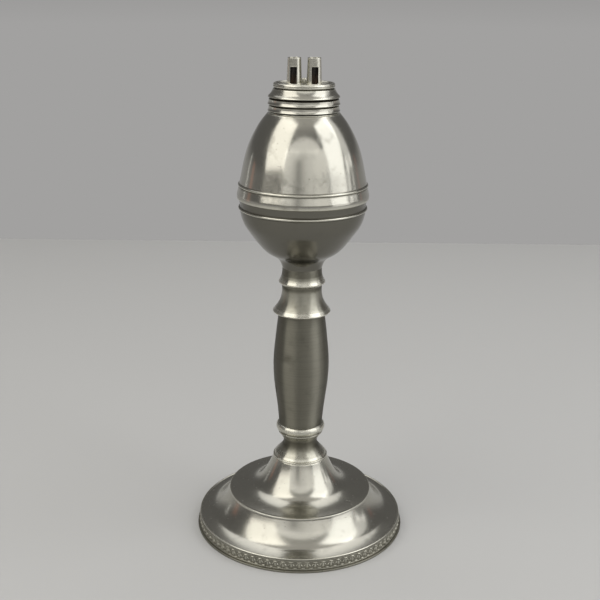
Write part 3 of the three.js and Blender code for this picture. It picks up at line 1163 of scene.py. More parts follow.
    def border(self) -> Piece:
        """Makes the border: a lined strip with a row of raised leaves.

        Returns:
            The border as one piece.
        """
        face = self.rim_radius
        back = face - self.border_depth + 0.1
        low, high = self.fillet_height + 0.05, self.border_top - 0.05
        outline = Outline(
            (back, low),
            (face + 0.15, low, 0.1),
            (face + 0.15, low + 0.35, 0.1),
            (face - 0.12, low + 0.5),
            (face - 0.12, high - 0.45),
            (face + 0.12, high - 0.32, 0.1),
            (face + 0.12, high, 0.1),
            (back, high),
        )
        strip = Lathe(facets=168).turn("leaf_border", outline, longest=2.0)
        motif = joined([self._petal(leaf) for leaf in self.leaves], "leaf_motif")
        # Shelter of the ground between the leaves, and how much less it is on their ridges
        ground, drop = 0.72, 0.6

        def raised(place: Vector) -> float:
            """Less shelter the further a point stands out."""
            proud = (place.xy.length / MM - face) / self.leaf_relief
            return ground - drop * max(0.0, min(1.0, proud))

        turns = [TAU * index / self.motif_count for index in range(1, self.motif_count)]
        leaves = joined([motif, *[copied(motif, turn) for turn in turns]], "leaf_row")
        mark_shelter(leaves, raised)
        mark_shelter(strip, lambda place: raised(place) + 0.05)
        border = joined([strip, leaves], "leaf_border")
        smooth(border, math.radians(20))
        return border

    def build(self, dresser: Dresser) -> None:
        """Builds and dresses the foot and its border.

        Args:
            dresser: Hands the pieces over to the frame.
        """
        dresser.dress(self.casting(), Body.LAMP, Slot.POLISHED, FOOT_PEWTER, "foot")
        dresser.dress(self.border(), Body.LAMP, Slot.BORDER, BORDER, "foot_border")


@dataclass
class Stem:
    """The lower ring, the hollow vase and the neck with two skirted rings.

    Attributes:
        ring_z: Height where the lower ring stands on the foot.
        vase_z: Height of the vase's lower end.
        neck_z: Height of its upper end.
        top_z: Height where the font sits.
        foot_neck_radius: Radius of the foot under the ring.
        foot_tenon_radius: Radius of the tenon in the foot.
        bore: Radius of the bore through the ring and the neck.
        vase_radius: Radius of the vase at its belly.
        vase_end_radius: Radius at its lower end.
        vase_top_radius: Radius at its upper end.
        vase_socket: Radius of the sockets in its ends.
        skirt_radius: Radius of the neck's lower skirt.
        upper_ring_radius: Radius of its upper ring.
        waist_radius: Radius of the neck's waists.
        neck_top_radius: Radius under the font.
    """

    ring_z: float = 33.8
    vase_z: float = 50.6
    neck_z: float = 103.6
    top_z: float = 124.4
    foot_neck_radius: float = 12.3
    foot_tenon_radius: float = 9.2
    bore: float = 5.6
    vase_radius: float = 12.6
    vase_end_radius: float = 9.9
    vase_top_radius: float = 10.2
    vase_socket: float = 7.8
    skirt_radius: float = 12.85
    upper_ring_radius: float = 10.28
    waist_radius: float = 8.8
    neck_top_radius: float = 8.7

    def ring(self) -> Piece:
        """Turns the lower ring, from its lip on the foot to the bead under the vase.

        Returns:
            The ring.
        """
        z = self.ring_z
        tenon = self.vase_socket - 0.2
        cove = [
            (11.95, z + 1.2), (11.35, z + 2.1), (10.5, z + 3.05), (9.5, z + 4.0), (8.6, z + 5.05),
            (7.95, z + 6.2), (7.6, z + 7.4), (7.7, z + 8.4), (8.15, z + 9.3), (8.75, z + 10.2),
            (9.35, z + 11.1), (9.8, z + 11.8),
        ]
        outline = Outline(
            (self.bore, z - 3.0),
            (self.foot_tenon_radius, z - 3.0),
            (self.foot_tenon_radius, z),
            (self.foot_neck_radius - 0.1, z, 0.05),
            (self.foot_neck_radius + 0.15, z + 0.15, 0.1),
            (self.foot_neck_radius + 0.15, z + 0.75, 0.2),
            (self.foot_neck_radius - 0.45, z + 0.9, 0.1),
            *swept(cove, 0.6, 0.6),
            (10.2, z + 12.1, 0.12),
            (10.15, z + 12.65, 0.12),
            (9.8, z + 12.85),
            *half_round(9.7, 11.1, z + 13.0, z + 16.7),
            (tenon, z + 16.8),
            (tenon, z + 19.4),
            (self.bore, z + 19.4),
        )
        return Lathe(facets=128, reach=2.6).turn("turned_stem_ring", outline, longest=2.5)

    def vase(self) -> Piece:
        """Turns the hollow vase.

        Returns:
            The vase.
        """
        low, high = self.vase_z, self.neck_z
        lower = laid_between(
            (self.vase_end_radius, low),
            (self.vase_radius, high),
            [
                (0, 0), (0.12, 0.09), (0.34, 0.19), (0.6, 0.28), (0.84, 0.38), (0.97, 0.47),
                (1, 0.555),
            ],
        )
        upper = laid_between(
            lower[-1],
            (self.vase_top_radius, high),
            [(0.09, 0.2), (0.33, 0.42), (0.56, 0.65), (0.82, 0.87), (1, 1)],
        )
        inside = [(8.6, high - 6), (9.7, 83.0), (10.35, 80.0), (9.7, 70.0), (8.2, low + 6)]
        outline = Outline(
            (self.vase_socket, low + 0.05),
            (self.vase_end_radius - 0.3, low + 0.05, 0.1),
            *swept(lower + upper, 1.1, 3.0),
            (self.vase_socket, high - 0.02),
            (self.vase_socket, high - 2.8),
            *swept(inside, 4.0, 2.0),
            (self.vase_socket, low + 2.8),
        )
        lathe = Lathe(facets=128, reach=1.2)
        return lathe.turn("turned_stem_vase", outline, longest=2.5, seams=(low, high))

    def neck(self) -> Piece:
        """Turns the neck, whose two rings flare down to crisp lower edges.

        Returns:
            The neck.
        """
        z, top = self.neck_z, self.top_z
        tenon = self.vase_socket - 0.2
        lower = [
            (12.6, z + 1.3), (11.65, z + 2.55), (10.75, z + 3.75), (10.05, z + 4.95),
            (9.45, z + 6.4), (9.05, z + 8.2), (self.waist_radius, z + 10.2), (8.85, z + 12.2),
            (9.0, z + 13.0),
        ]
        upper = [
            (10.2, z + 14.7), (9.75, z + 15.4), (9.35, z + 16.2), (9.0, z + 17.3),
            (8.78, z + 18.8), (self.neck_top_radius, top),
        ]
        outline = Outline(
            (self.bore, z - 2.6),
            (tenon, z - 2.6),
            (tenon, z),
            (self.vase_top_radius, z + 0.02, 0.1),
            (self.skirt_radius - 0.35, z + 0.4, 0.15),
            (self.skirt_radius, z + 0.75, 0.15),
            (self.skirt_radius - 0.05, z + 1.1, 0.1),
            *swept(lower, 0.6, 0.7),
            (9.9, z + 13.75, 0.12),
            (self.upper_ring_radius, z + 14.1, 0.14),
            (self.upper_ring_radius, z + 14.5, 0.12),
            *swept(upper, 0.5, 0.4),
            (self.bore, top),
        )
        # The top seam's high shelter darkens the neck up to the bowl: a painted shade that carries
        # the bowl's painted dark colour down onto the neck.
        lathe = Lathe(facets=128, reach=2.6, seam_width=3.0, seam_shelter=0.74)
        return lathe.turn("turned_stem_neck", outline, longest=2.5, seams=(top,))

    def build(self, dresser: Dresser) -> None:
        """Builds and dresses the stem from the foot up.

        Args:
            dresser: Hands the pieces over to the frame.
        """
        dresser.dress(self.ring(), Body.LAMP, Slot.POLISHED, STEM_PEWTER, "stem_ring")
        dresser.dress(self.vase(), Body.LAMP, Slot.SATIN, SATIN, "stem_vase")
        dresser.dress(self.neck(), Body.LAMP, Slot.POLISHED, STEM_PEWTER, "stem_neck")


@dataclass
class Font:
    """The oil font: a bowl, an acorn shell soldered on at the girth, and the threaded collar.

    Attributes:
        bowl_z: Height of the bowl's foot.
        bowl_height: Height of the bowl up to its bead.
        bowl_radius: Radius at the bead.
        neck_radius: Radius where it leaves the stem.
        acorn_z: Height of the girth.
        acorn_height: Height of the shell.
        girth_radius: Radius of the girth's lip.
        shoulder_radius: Radius of the shell at its mouth.
        collar_z: Height of the collar's flange.
        collar_bore: Radius of the collar's bore.
        shell_radius: Radius inside the girth, where the bowl and the shell meet.
    """

    bowl_z: float = 124.4
    bowl_height: float = 26.2
    bowl_radius: float = 27.25
    neck_radius: float = 8.7
    acorn_z: float = 155.3
    acorn_height: float = 36.6
    girth_radius: float = 28.5
    shoulder_radius: float = 15.4
    collar_z: float = 191.9
    collar_bore: float = 11.3
    shell_radius: float = 25.8

    def bowl(self) -> Piece:
        """Turns the bowl, with the thin bead and the plain band below the girth.

        Returns:
            The bowl.
        """
        z = self.bowl_z
        edge = z + self.bowl_height
        shares = [
            (0, 0), (0.03, 0.069), (0.082, 0.137), (0.14, 0.18), (0.23, 0.218), (0.36, 0.27),
            (0.476, 0.342), (0.595, 0.443), (0.755, 0.595), (0.9, 0.748), (0.967, 0.882), (1, 1),
        ]
        side = laid_between((self.neck_radius, z), (self.bowl_radius, edge), shares)
        inside = [
            (self.shell_radius, edge + 4.7), (25.45, edge - 0.2), (24.6, 146.9), (22.9, 142.6),
            (19.2, 138.2), (14.6, 133.6),
        ]
        bead = self.bowl_radius + 0.2
        outline = Outline(
            (0, z - 3.0),
            (5.4, z - 3.0),
            (5.4, z),
            *swept(side, 0.7, 1.2),
            (self.bowl_radius + 0.15, edge + 0.12, 0.08),
            *half_round(bead, self.bowl_radius + 0.68, edge + 0.2, edge + 1.15, 8),
            (27.2, edge + 1.35, 0.1),
            (27.3, edge + 2.9, 0.8),
            (27.6, edge + 4.6, 0.1),
            (self.shell_radius, edge + 4.7),
            *swept(inside, 2.0, 1.0)[1:],
            (8.0, 130.6),
            (0, 130.4),
        )
        seams = (z, edge + 4.7)
        lathe = Lathe(facets=160)
        return lathe.turn("turned_font_bowl", outline, closed=False, longest=2.5, seams=seams)

    def acorn(self) -> Piece:
        """Turns the acorn shell, with its girth lip and the raised line above it.

        Returns:
            The shell.
        """
        z = self.acorn_z
        mouth = z + self.acorn_height - 0.3
        shares = [
            (0, 0), (0.052, 0.1), (0.103, 0.205), (0.16, 0.32), (0.235, 0.44), (0.335, 0.56),
            (0.468, 0.68), (0.628, 0.8), (0.83, 0.925), (1, 1),
        ]
        side = laid_between((27.4, z + 6.7), (self.shoulder_radius, mouth), shares)
        inside = [
            (13.4, 190.0), (16.8, 186.4), (20.6, 180.6), (23.3, 173.0), (25.0, 164.5),
            (25.75, 158.0),
        ]
        outline = Outline(
            (self.shell_radius, z),
            (self.girth_radius - 0.35, z, 0.1),
            (self.girth_radius, z + 0.35, 0.3),
            (self.girth_radius, z + 2.0, 0.5),
            (27.62, z + 5.35, 0.15),
            *half_round(27.6, 28.02, z + 5.6, z + 6.5, 8),
            *swept(side, 0.7, 2.4)[:-1],
            (self.shoulder_radius, mouth, 0.15),
            (13.0, mouth),
            (13.0, mouth - 1.3),
            *swept(inside, 2.0, 1.5),
        )
        return Lathe(facets=160).turn("turned_font_acorn", outline, longest=2.5)

    def collar_ring(self, low: float) -> list[Point]:
        """Traces one flared ring of the collar, from its lower lip up.

        Args:
            low: Height of its lower lip.

        Returns:
            The traced points.
        """
        steps = [
            (14.9, 0), (15.28, 0.08), (15.32, 0.26), (15.13, 0.56), (14.98, 0.92), (14.9, 1.3),
            (14.87, 1.7), (14.84, 2.0), (14.6, 2.22), (13.6, 2.3),
        ]
        return [(radius, low + rise) for radius, rise in steps]

    def collar(self) -> Piece:
        """Turns the collar with its flange, two flared rings and threaded bore.

        Returns:
            The collar.
        """
        z, bore = self.collar_z, self.collar_bore
        outline = Outline(
            (bore + 0.3, z - 3.6),
            (12.8, z - 3.6),
            (12.8, z - 0.3),
            (14.5, z - 0.3, 0.1),
            (14.5, z + 0.1, 0.2),
            (13.8, z + 0.2),
            *self.collar_ring(z + 0.6),
            (13.5, z + 2.95),
            (13.5, z + 3.4),
            *self.collar_ring(z + 3.4),
            (13.4, z + 5.9),
            (bore, z + 5.9, 0.3),
            (bore + 0.3, z + 5.4),
        )
        grooves = (z + 0.35, z + 3.15, z + 5.85)
        lathe = Lathe(facets=144, reach=0.5, seam_width=0.3, seam_shelter=0.95)
        return lathe.turn("turned_font_collar", outline, longest=2.5, seams=grooves)

    def build(self, dresser: Dresser) -> None:
        """Builds and dresses the font.

        Args:
            dresser: Hands the pieces over to the frame.
        """
        dresser.dress(self.bowl(), Body.LAMP, Slot.POLISHED, BOWL_PEWTER_PAINTED_SHADE, "font_lower")
        dresser.dress(self.acorn(), Body.LAMP, Slot.POLISHED, ACORN_PEWTER, "font_upper")
        dresser.dress(self.collar(), Body.LAMP, Slot.POLISHED, POLISHED, "font_collar")


@dataclass
class Burner:
    """The screw burner: washer, threaded plug, flared skirt, dished disc, two wick tubes and vent.

    Attributes:
        washer_z: Height of the leather washer.
        flare_z: Height of the skirt's lower face.
        disc_z: Height of the disc's lower face.
        disc_top_z: Height of the disc's floor, where the tubes are measured from.
        plug_radius: Radius of the thread's crest.
        thread_depth: Depth of the thread.
        thread_pitch: Its pitch.
        tube_x: Distance of each tube's axis from the lamp's axis.
        tube_base: Radius of a tube at the disc.
        tube_top: Radius at its top.
        tube_wall: Thickness of its sheet.
        tube_height: Height above the disc.
        tube_drop: Length below the disc's floor.
        slot_width: Width of the slot.
        slot_height: Its height.
        slot_turn: How far each slot faces outwards, in degrees.
        slot_fillet: Rounding of the slot's upper corners.
        edge_wear: Rounding of the tubes' sharp edges.
        hole_play: Clearance of a tube in its hole.
        vent_hole: Radius of the vent's hole.
        vent_y: How far the vent stands behind the tubes.
    """

    washer_z: float = 197.8
    flare_z: float = 198.4
    disc_z: float = 202.3
    disc_top_z: float = 203.4
    plug_radius: float = 11.0
    thread_depth: float = 0.55
    thread_pitch: float = 2.0
    tube_x: float = 4.15
    tube_base: float = 3.28
    tube_top: float = 2.83
    tube_wall: float = 0.55
    tube_height: float = 10.9
    tube_drop: float = 22.0
    slot_width: float = 2.8
    slot_height: float = 7.2
    slot_turn: float = 7.0
    slot_fillet: float = 0.25
    edge_wear: float = 0.07
    hole_play: float = 0.02
    vent_hole: float = 0.9
    vent_y: float = 4.6

    def washer(self) -> Piece:
        """Turns the leather washer, with an edge that bulges where it is squeezed.

        Returns:
            The washer.
        """
        z = self.washer_z
        outline = Outline(
            (11.3, z), (13.7, z, 0.1), (13.9, z + 0.3, 0.2), (13.7, z + 0.6, 0.1), (11.3, z + 0.6)
        )
        return Lathe(facets=96).turn("leather_washer", outline)

    def _thread(self, root: float, crest: float, bottom: float, turns: int) -> Piece:
        """A screw thread as a ridge that climbs round the plug.

        Args:
            root: Radius where the ridge stands.
            crest: Radius of its crest.
            bottom: Height of its start.
            turns: Full turns.

        Returns:
            The ridge.
        """
        rise = self.thread_pitch * 0.42
        clear_selection()
        bpy.ops.mesh.primitive_circle_add(
            vertices=4, radius=MM, fill_type="NGON", rotation=UPRIGHT
        )
        ridge = bpy.context.active_object
        settle(ridge)
        with editing(ridge):
            bpy.ops.mesh.select_all(action="SELECT")
            bpy.ops.transform.resize(value=(crest - root, 1, rise))
            bpy.ops.transform.translate(value=(root * MM, 0, (bottom + rise) * MM))
            bpy.ops.mesh.delete(type="ONLY_FACE")
        apply_modifier(
            ridge,
            "SCREW",
            angle=TAU,
            iterations=turns,
            screw_offset=self.thread_pitch * MM,
            steps=64,
            render_steps=64,
        )
        with editing(ridge):
            bpy.ops.mesh.select_all(action="SELECT")
            bpy.ops.mesh.region_to_loop()
            bpy.ops.mesh.edge_face_add()
        face_outwards(ridge)

        def deep(place: Vector) -> float:
            """More shelter towards the root."""
            return 0.8 - 0.5 * (place.xy.length / MM - root) / (crest - root)

        mark_shelter(ridge, deep)
        smooth(ridge)
        return ridge

    def plug(self) -> Piece:
        """Makes the screw plug with its thread.

        Returns:
            The plug.
        """
        root = self.plug_radius - self.thread_depth
        bottom = self.flare_z - 8.0
        outline = Outline(
            (9.2, bottom, 0.3), (root, bottom, 0.4), (root, self.disc_z), (9.2, self.disc_z)
        )
        body = Lathe(facets=96).turn("screw_plug", outline)
        return joined([body, self._thread(root, self.plug_radius, bottom + 0.3, 3)], "screw_plug")

    def skirt(self) -> Piece:
        """Turns the flared skirt that the fingers grip.

        Returns:
            The skirt.
        """
        z = self.flare_z
        side = [
            (14.95, z + 0.45), (14.3, z + 1.1), (13.72, z + 1.9), (13.3, z + 2.7), (13.06, z + 3.3),
        ]
        outline = Outline(
            (11.2, z),
            (14.2, z),
            (14.4, z - 0.22, 0.1),
            (15.05, z - 0.2, 0.1),
            (15.2, z + 0.08, 0.12),
            *swept(side, 0.35, 0.25),
            (12.1, z + 3.6, 0.05),
            (11.2, z + 3.6),
        )
        lathe = Lathe(facets=144, reach=0.5, seam_width=0.2, seam_shelter=0.95)
        return lathe.turn("burner_flared_skirt", outline, seams=(z - 0.2, z + 3.6))

    def disc(self) -> Piece:
        """Turns the dished disc and cuts the holes for the tubes and the vent.

        Returns:
            The disc.
        """
        low, floor = self.disc_z, self.disc_top_z
        outline = Outline(
            (0, low - 0.3),
            (12.0, low - 0.3),
            (12.2, low + 0.05),
            (12.95, low + 0.08, 0.15),
            (13.05, low + 0.62, 0.15),
            (12.85, low + 0.8),
            (13.02, low + 0.98, 0.1),
            (12.92, low + 1.5, 0.25),
            (12.5, low + 1.83, 0.22),
            (12.0, low + 1.8, 0.2),
            (11.5, floor + 0.1, 0.3),
            (10.9, floor),
            (8.0, floor),
            (0, floor),
        )
        lathe = Lathe(facets=144, reach=0.5, seam_width=0.12, seam_shelter=0.95)
        disc = lathe.turn("burner_dished_disc", outline, closed=False, seams=(low,))
        holes = [(x, 0.0, self.tube_base + self.hole_play) for x in (-self.tube_x, self.tube_x)]
        through = 6 * MM
        for x, y, radius in [*holes, (0.0, self.vent_y, self.vent_hole)]:
            middle = (x * MM, y * MM, floor * MM)
            clear_selection()
            bpy.ops.mesh.primitive_cylinder_add(
                vertices=48, radius=radius * MM, depth=through, location=middle
            )
            drill = bpy.context.active_object
            settle(drill)
            cut_with(disc, drill)
        smooth(disc)
        return disc

    def tube(self, side: Side) -> Piece:
        """Makes a wick tube and cuts its slot.

        Args:
            side: Which of the two.

        Returns:
            The tube, in its place.
        """
        base, floor = self.tube_base, self.disc_top_z
        foot, top = floor - self.tube_drop, floor + self.tube_height
        outline = Outline(
            (base - self.tube_wall, foot, 0.1),
            (base, foot, 0.1),
            (base, floor),
            (self.tube_top + 0.03, top - 0.55),
            (self.tube_top, top, 0.16),
            (self.tube_top - self.tube_wall, top, 0.16),
            (base - self.tube_wall, floor),
        )
        tube = Lathe(facets=64).turn(f"slotted_tube_{side.word}", outline, longest=1.2)
        reach = 4.0
        clear_selection()
        bpy.ops.mesh.primitive_cube_add(size=MM)
        cutter = bpy.context.active_object
        with editing(cutter):
            bpy.ops.mesh.select_all(action="SELECT")
            bpy.ops.transform.resize(value=(self.slot_width, reach, self.slot_height))
            middle = (0, -reach / 2 * MM, (floor + self.slot_height / 2) * MM)
            bpy.ops.transform.translate(value=middle)
            pick_points(cutter, lambda place: place.z > (floor + 1) * MM)
            bpy.ops.mesh.bevel(offset=self.slot_fillet * MM, segments=3, affect="EDGES")
        cutter.rotation_euler = (0, 0, side.value * math.radians(self.slot_turn))
        settle(cutter)
        cut_with(tube, cutter)
        apply_modifier(
            tube,
            "BEVEL",
            width=self.edge_wear * MM,
            segments=2,
            limit_method="ANGLE",
            angle_limit=math.radians(50),
        )
        tube.location = (side.value * self.tube_x * MM, 0, 0)
        settle(tube)
        smooth(tube)
        return tube

    def solder(self, side: Side) -> Piece:
        """Makes the uneven ring of solder at a tube's base, filed lower under the slot.

        Args:
            side: Which of the two.

        Returns:
            The solder.
        """
        base, floor = self.tube_base, self.disc_top_z
        outline = Outline(
            (base - 0.1, floor - 0.1),
            (base + 0.55, floor - 0.1),
            (base + 0.5, floor + 0.08),
            (base + 0.12, floor + 0.2),
            (base - 0.03, floor + 0.5),
        )
        ring = Lathe(facets=48).turn(f"tube_solder_{side.word}", outline)
        seed = 7 + side.value
        with editing(ring):
            pick_points(ring, lambda place: place.z > (floor - 0.05) * MM)
            bpy.ops.transform.vertex_random(offset=0.06 * MM, uniform=0.3, normal=0.4, seed=seed)
            pick_points(ring, lambda place: place.y < 0 and abs(place.x) < 1.5 * MM)
            bpy.ops.transform.translate(value=(0, 0, -0.25 * MM))
        ring.location = (side.value * self.tube_x * MM, 0, 0)
        settle(ring)
        smooth(ring, math.radians(60))
        return ring

    def vent(self) -> Piece:
        """Turns the vent nipple with its bore.

        Returns:
            The nipple, in its place.
        """
        floor = self.disc_top_z
        outline = Outline(
            (0.4, floor - 2.1),
            (0.85, floor - 2.1),
            (0.85, floor),
            (1.4, floor, 0.08),
            (1.46, floor + 0.4),
            (1.44, floor + 0.95),
            (1.34, floor + 1.4),
            (1.14, floor + 1.78),
            (0.88, floor + 2.05),
            (0.6, floor + 2.2),
            (0.4, floor + 2.18),
        )
        nipple = Lathe(facets=32, reach=0.3).turn("vent_pip", outline)
        nipple.location = (0, self.vent_y * MM, 0)
        settle(nipple)
        return nipple

    def build(self, dresser: Dresser) -> None:
        """Builds and dresses the burner.

        Args:
            dresser: Hands the pieces over to the frame.
        """
        dresser.dress(self.washer(), Body.WASHER, Slot.LEATHER, OiledLeather(), "burner_washer")
        dresser.dress(self.plug(), Body.BURNER, Slot.POLISHED, BURNER_PEWTER, "burner_plug")
        dresser.dress(self.skirt(), Body.BURNER, Slot.POLISHED, BURNER_PEWTER, "burner_skirt")
        dresser.dress(self.disc(), Body.BURNER, Slot.POLISHED, BURNER_PEWTER, "burner_disc")
        for side, finish in ((Side.LEFT, LEFT_TUBE), (Side.RIGHT, RIGHT_TUBE)):
            node = f"wick_tube_{side.word}"
            dresser.dress(self.tube(side), Body.BURNER, Slot.POLISHED, finish, node)
            dresser.dress(self.solder(side), Body.BURNER, Slot.POLISHED, SOLDER)
        dresser.dress(self.vent(), Body.BURNER, Slot.POLISHED, VENT_PEWTER_PAINTED_LIGHT, "vent_nipple")


@dataclass
class Wicks:
    """The two cotton wicks, each of three loosely twisted strands.

    Attributes:
        bottom: Height of the lower end.
        top: Height of the charred end.
        radius: Radius of the whole wick.
        strand_radius: Radius of one strand.
        strands: Strands in a wick.
        turns: Turns of the twist over its length.
        tip: Length of the dome that each strand ends in.
        tube_x: Distance of each wick from the lamp's axis.
    """

    bottom: float = 139.7
    top: float = 213.7
    radius: float = 2.05
    strand_radius: float = 1.0
    strands: int = 3
    turns: float = 1.8
    tip: float = 0.3
    tube_x: float = 4.15

    def wick(self, side: Side) -> Piece:
        """Twists a wick.

        Args:
            side: Which of the two.

        Returns:
            The wick, in its place.
        """
        clear_selection()
        bpy.ops.mesh.primitive_circle_add(
            vertices=14,
            radius=self.strand_radius * MM,
            fill_type="NOTHING",
            location=((self.radius - self.strand_radius) * MM, 0, self.bottom * MM),
        )
        strand = bpy.context.active_object
        settle(strand)
        apply_modifier(
            strand,
            "SCREW",
            angle=TAU * self.turns,
            screw_offset=(self.top - self.bottom - self.tip) * MM,
            steps=96,
            render_steps=96,
        )
        with editing(strand):
            for end in (self.bottom, self.top - self.tip):
                pick_points(strand, lambda place, end=end: abs(place.z / MM - end) < 0.05)
                bpy.ops.mesh.edge_face_add()
                bpy.ops.mesh.inset(thickness=0.3 * MM)
                bpy.ops.mesh.inset(thickness=0.35 * MM)
                lift = self.tip if end > self.bottom else 0.0
                bpy.ops.transform.translate(value=(0, 0, lift * MM))
        face_outwards(strand)
        turns = [TAU * index / self.strands for index in range(1, self.strands)]
        strands = [strand, *[copied(strand, turn) for turn in turns]]
        wick = joined(strands, f"cotton_wick_{side.word}")
        wick.location = (side.value * self.tube_x * MM, 0, 0)
        settle(wick)
        smooth(wick, math.radians(50))
        return wick

    def build(self, dresser: Dresser) -> None:
        """Builds and dresses both wicks.

        Args:
            dresser: Hands the pieces over to the frame.
        """
        for side, body in ((Side.LEFT, Body.LEFT_WICK), (Side.RIGHT, Body.RIGHT_WICK)):
            dresser.dress(self.wick(side), body, Slot.COTTON, WickCotton(), f"wick_{side.word}")


# Studio


class LampShape(Enum):
    """The outline of a softbox."""

    RECTANGLE = "RECTANGLE"
    ELLIPSE = "ELLIPSE"


@dataclass(frozen=True)
class Softbox:
    """A soft light, placed round the object by angle.

    Attributes:
        name: Its name.
        azimuth: Degrees to the right of the camera's side.
        elevation: Degrees above the table.
        distance: Metres from the middle of the object.
        width: Metres across.
        height: Metres tall.
        radiance: How bright its face is, where 1 is white.
        color_hex: Its colour.
        shape: Its outline.
        roll: How far it is turned in its own plane, in degrees.
    """

    name: str
    azimuth: float
    elevation: float
    distance: float
    width: float
    height: float
    radiance: float
    color_hex: str = "#ffffff"
    shape: LampShape = LampShape.RECTANGLE
    roll: float = 0.0

    def place(self, target: Vector) -> None:
        """Hangs the softbox and aims it.

        Args:
            target: What it points at.
        """
        turn, rise = math.radians(self.azimuth), math.radians(self.elevation)
        level = math.cos(rise)
        towards = Vector((math.sin(turn) * level, -math.cos(turn) * level, math.sin(rise)))
        light = bpy.data.lights.new(self.name, "AREA")
        light.shape = self.shape.value
        light.size, light.size_y = self.width, self.height
        area = self.width * self.height * (math.pi / 4 if self.shape is LampShape.ELLIPSE else 1.0)
        light.energy = math.pi * area * self.radiance
        light.color = linear(self.color_hex)[:3]
        lamp = bpy.data.objects.new(self.name, light)
        lamp.location = target + towards * self.distance
        lamp.rotation_mode = "QUATERNION"
        rolled = Quaternion((0, 0, 1), math.radians(self.roll))
        lamp.rotation_quaternion = (-towards).to_track_quat("-Z", "Y") @ rolled
        lamp.visible_camera = False
        bpy.context.scene.collection.objects.link(lamp)


@dataclass(frozen=True)
class Fan:
    """A wide soft panel in upright strips, dim behind the camera and brighter to both sides.

    Attributes:
        name: Its name.
        elevation: Degrees above the table.
        height: Metres tall.
        edges: The azimuth where each strip begins, and its radiance. The last one ends the panel.
        distance: Metres from the middle of the lamp.
        color_hex: Its colour.
    """

    name: str
    elevation: float
    height: float
    edges: tuple[tuple[float, float], ...]
    distance: float = 1.22
    color_hex: str = "#fffefb"

    def strips(self) -> list[Softbox]:
        """Cuts the panel into its strips, side by side.

        Returns:
            The strips, each with the panel's name and its number.
        """
        reach = self.distance * math.cos(math.radians(self.elevation))
        strips = []
        for (left, radiance), (right, _) in zip(self.edges, self.edges[1:]):
            strip = Softbox(
                f"{self.name}_{len(strips)}",
                (left + right) / 2,
                self.elevation,
                self.distance,
                2 * reach * math.tan(math.radians(right - left) / 2),
                self.height,
                radiance,
                self.color_hex,
            )
            strips.append(strip)
        return strips


